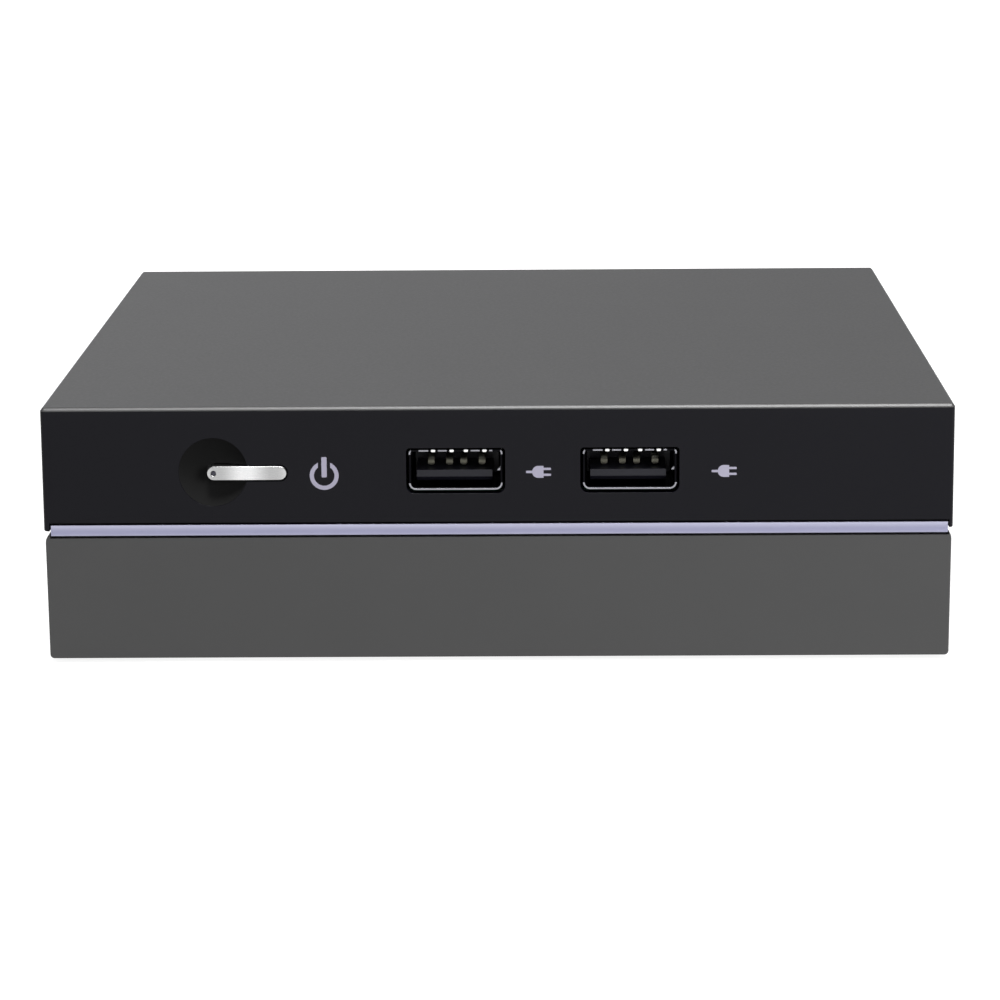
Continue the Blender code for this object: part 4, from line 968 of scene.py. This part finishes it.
def network_details():
    """Eight sprung wires along the roof of the network socket, and a light at each lower corner."""
    low, high = node_box("network_jack")
    middle = (low.x + high.x) / 2
    roof = high.z - 1.0 * MM
    wires = []
    for i in range(8):
        x = middle + (i - 3.5) * 1.02 * MM
        route = [(high.y - 11.8 * MM, roof - 0.3 * MM), (high.y - 9 * MM, roof - 2.6 * MM),
                 (high.y - 8.6 * MM, roof - 2.8 * MM), (high.y - 8.0 * MM, roof - 2.7 * MM),
                 (high.y - 2.2 * MM, roof - 0.12 * MM)]
        wires.append(bent_strip(route, around(x, 0.4 * MM), 0.2 * MM))
    piece("network_wires", joined(*wires), "host", GOLD)
    for name, dx, finish in (("left", 5.4 * MM, GREEN_LIGHT), ("right", -5.4 * MM, AMBER_LIGHT)):
        window = bar(around(middle + dx, 2.8 * MM), (high.y - 0.4 * MM, high.y + 0.06 * MM),
                     around(low.z + 1.3 * MM, 1.3 * MM), Y_AXIS, 0.2 * MM)
        piece(f"network_light_{name}", window, "host", finish, soft=0.05 * MM)


def round_socket_details():
    """Metal ring in the audio socket's bore and the bright pin of the power inlet."""
    low, high = node_box("audio_jack")
    x = (low.x + high.x) / 2
    ring = disc((x, high.y - 0.1 * MM, REAR_PORT_Z), 2.5 * MM, 0.5 * MM, Y_AXIS, 48)
    piece("audio_ring", ring, "host", NICKEL,
          cut=[disc((x, high.y, REAR_PORT_Z), 1.75 * MM, 4 * MM, Y_AXIS, 48)], soft=0.08 * MM)
    low, high = node_box("power_jack")
    x = (low.x + high.x) / 2
    pin = disc((x, high.y - 3.6 * MM, POWER_Z), 1.15 * MM, 6.0 * MM, Y_AXIS, 32)
    piece("power_pin", pin, "host", NICKEL, soft=0.3 * MM, segments=4)


def plug_contacts():
    """Rows of gold pads on both faces of the dock plug's blade."""
    low, high = node_box("dock_plug")
    middle = (low.y + high.y) / 2
    pads = []
    for side in (-1, 1):
        for i in range(22):
            x = (i - 10.5) * 0.8 * MM
            pads.append(block(around(x, 0.5 * MM), around(middle + side * 0.8 * MM, 0.06 * MM),
                              (high.z - 2.0 * MM, high.z - 0.25 * MM)))
    piece("dock_plug_contacts", joined(*pads), "dock", GOLD)


# ---- CAD nodes that stay ------------------------------------------------------------------------
def numbered(stem):
    """The names of four like nodes."""
    return [f"{stem}_{i}" for i in range(1, 5)]


# A finish, how wide its nodes' edges are broken in millimetres, and the nodes.
KEPT_NODES = (
    (SHELL_BLACK, 0.15, ["host_base"]),
    (SHELL_BLACK, 0.10, ["dock_cover"]),
    (NICKEL, 0.10, ["video_shell", "network_jack"]),
    (PORT_BLACK, 0.10, ["video_tongue", "audio_jack", "power_jack", "memory_socket", "ssd_socket",
                        "wireless_socket", "coin_cell_holder", "power_switch", "dock_socket", "dock_plug",
                        "drive_connector", "fan_housing", "fan_impeller"]),
    (BOARD, 0.05, ["motherboard", "memory_module", "ssd_module", "wireless_card", "antenna", "dock_board"]),
    (CHIP, 0.12, ["processor"]),
    (ALUMINIUM, 0.06, ["heatsink"]),
    (ALUMINIUM, 0.25, ["drive"]),
    (SHEET_STEEL, 0.08, ["fan_cover", "switch_plunger", "coin_cell"]),
    (MAGNET, 0.15, ["dock_magnet_left", "dock_magnet_right", "host_magnet_left", "host_magnet_right"]),
    (SCREW_STEEL, 0.10, numbered("base_screw") + numbered("cover_screw")),
    (RUBBER, 0.12, numbered("foot")),
)


def smooth_shading():
    """A node group that shades every face smooth."""
    group = bpy.data.node_groups.new("smooth_faces", "GeometryNodeTree")
    group.interface.new_socket("Geometry", in_out="INPUT", socket_type="NodeSocketGeometry")
    group.interface.new_socket("Geometry", in_out="OUTPUT", socket_type="NodeSocketGeometry")
    entry = group.nodes.new("NodeGroupInput")
    smooth = group.nodes.new("GeometryNodeSetShadeSmooth")
    leave = group.nodes.new("NodeGroupOutput")
    group.links.new(entry.outputs[0], smooth.inputs[0])
    group.links.new(smooth.outputs[0], leave.inputs[0])
    return group


# These keep their triangles: their pierced faces would overlap themselves as single polygons.
TRIANGLES_STAY = {"host_base", "dock_cover", "drive"}


def finish_kept_nodes():
    """Gives each CAD node that stays its finish, whole flat faces where it can, and broken edges."""
    smooth = smooth_shading()
    for finish, width, names in KEPT_NODES:
        for name in names:
            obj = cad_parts[name]
            obj.data.materials.clear()
            obj.data.materials.append(finish)
            obj.modifiers.new("weld", "WELD").merge_threshold = 0.002 * MM
            if name not in TRIANGLES_STAY:
                planar = obj.modifiers.new("planar", "DECIMATE")
                planar.decimate_type = "DISSOLVE"
                planar.angle_limit = FLAT
            soften(obj, width * MM, 2)
            obj.modifiers.new("smooth", "NODES").node_group = smooth
            obj.modifiers.move(len(obj.modifiers) - 1, len(obj.modifiers) - 2)


make_camera()
make_studio()
finish_kept_nodes()
lid()
panel()
finger_dish()
power_symbol()
for side, x in PLUG_SYMBOL_X.items():
    plug_symbol(side, x)
host_walls()
dust_screen("left", -1)
dust_screen("right", 1)
strip()
dock_shell()
button()
button_carrier()
light_guide()
# The front sockets' shells are black nickel, partly painted shade for the inside of their mouths.
for side, x in USB_X.items():
    usb_socket(f"front_usb_{side}", x, -USB_FACE, 1, BLACK_NICKEL_PAINTED_SHADE)
for side, x in REAR_USB_X.items():
    usb_socket(f"rear_usb_{side}", x, USB_FACE, -1, NICKEL)
video_contacts()
network_details()
round_socket_details()
plug_contacts()
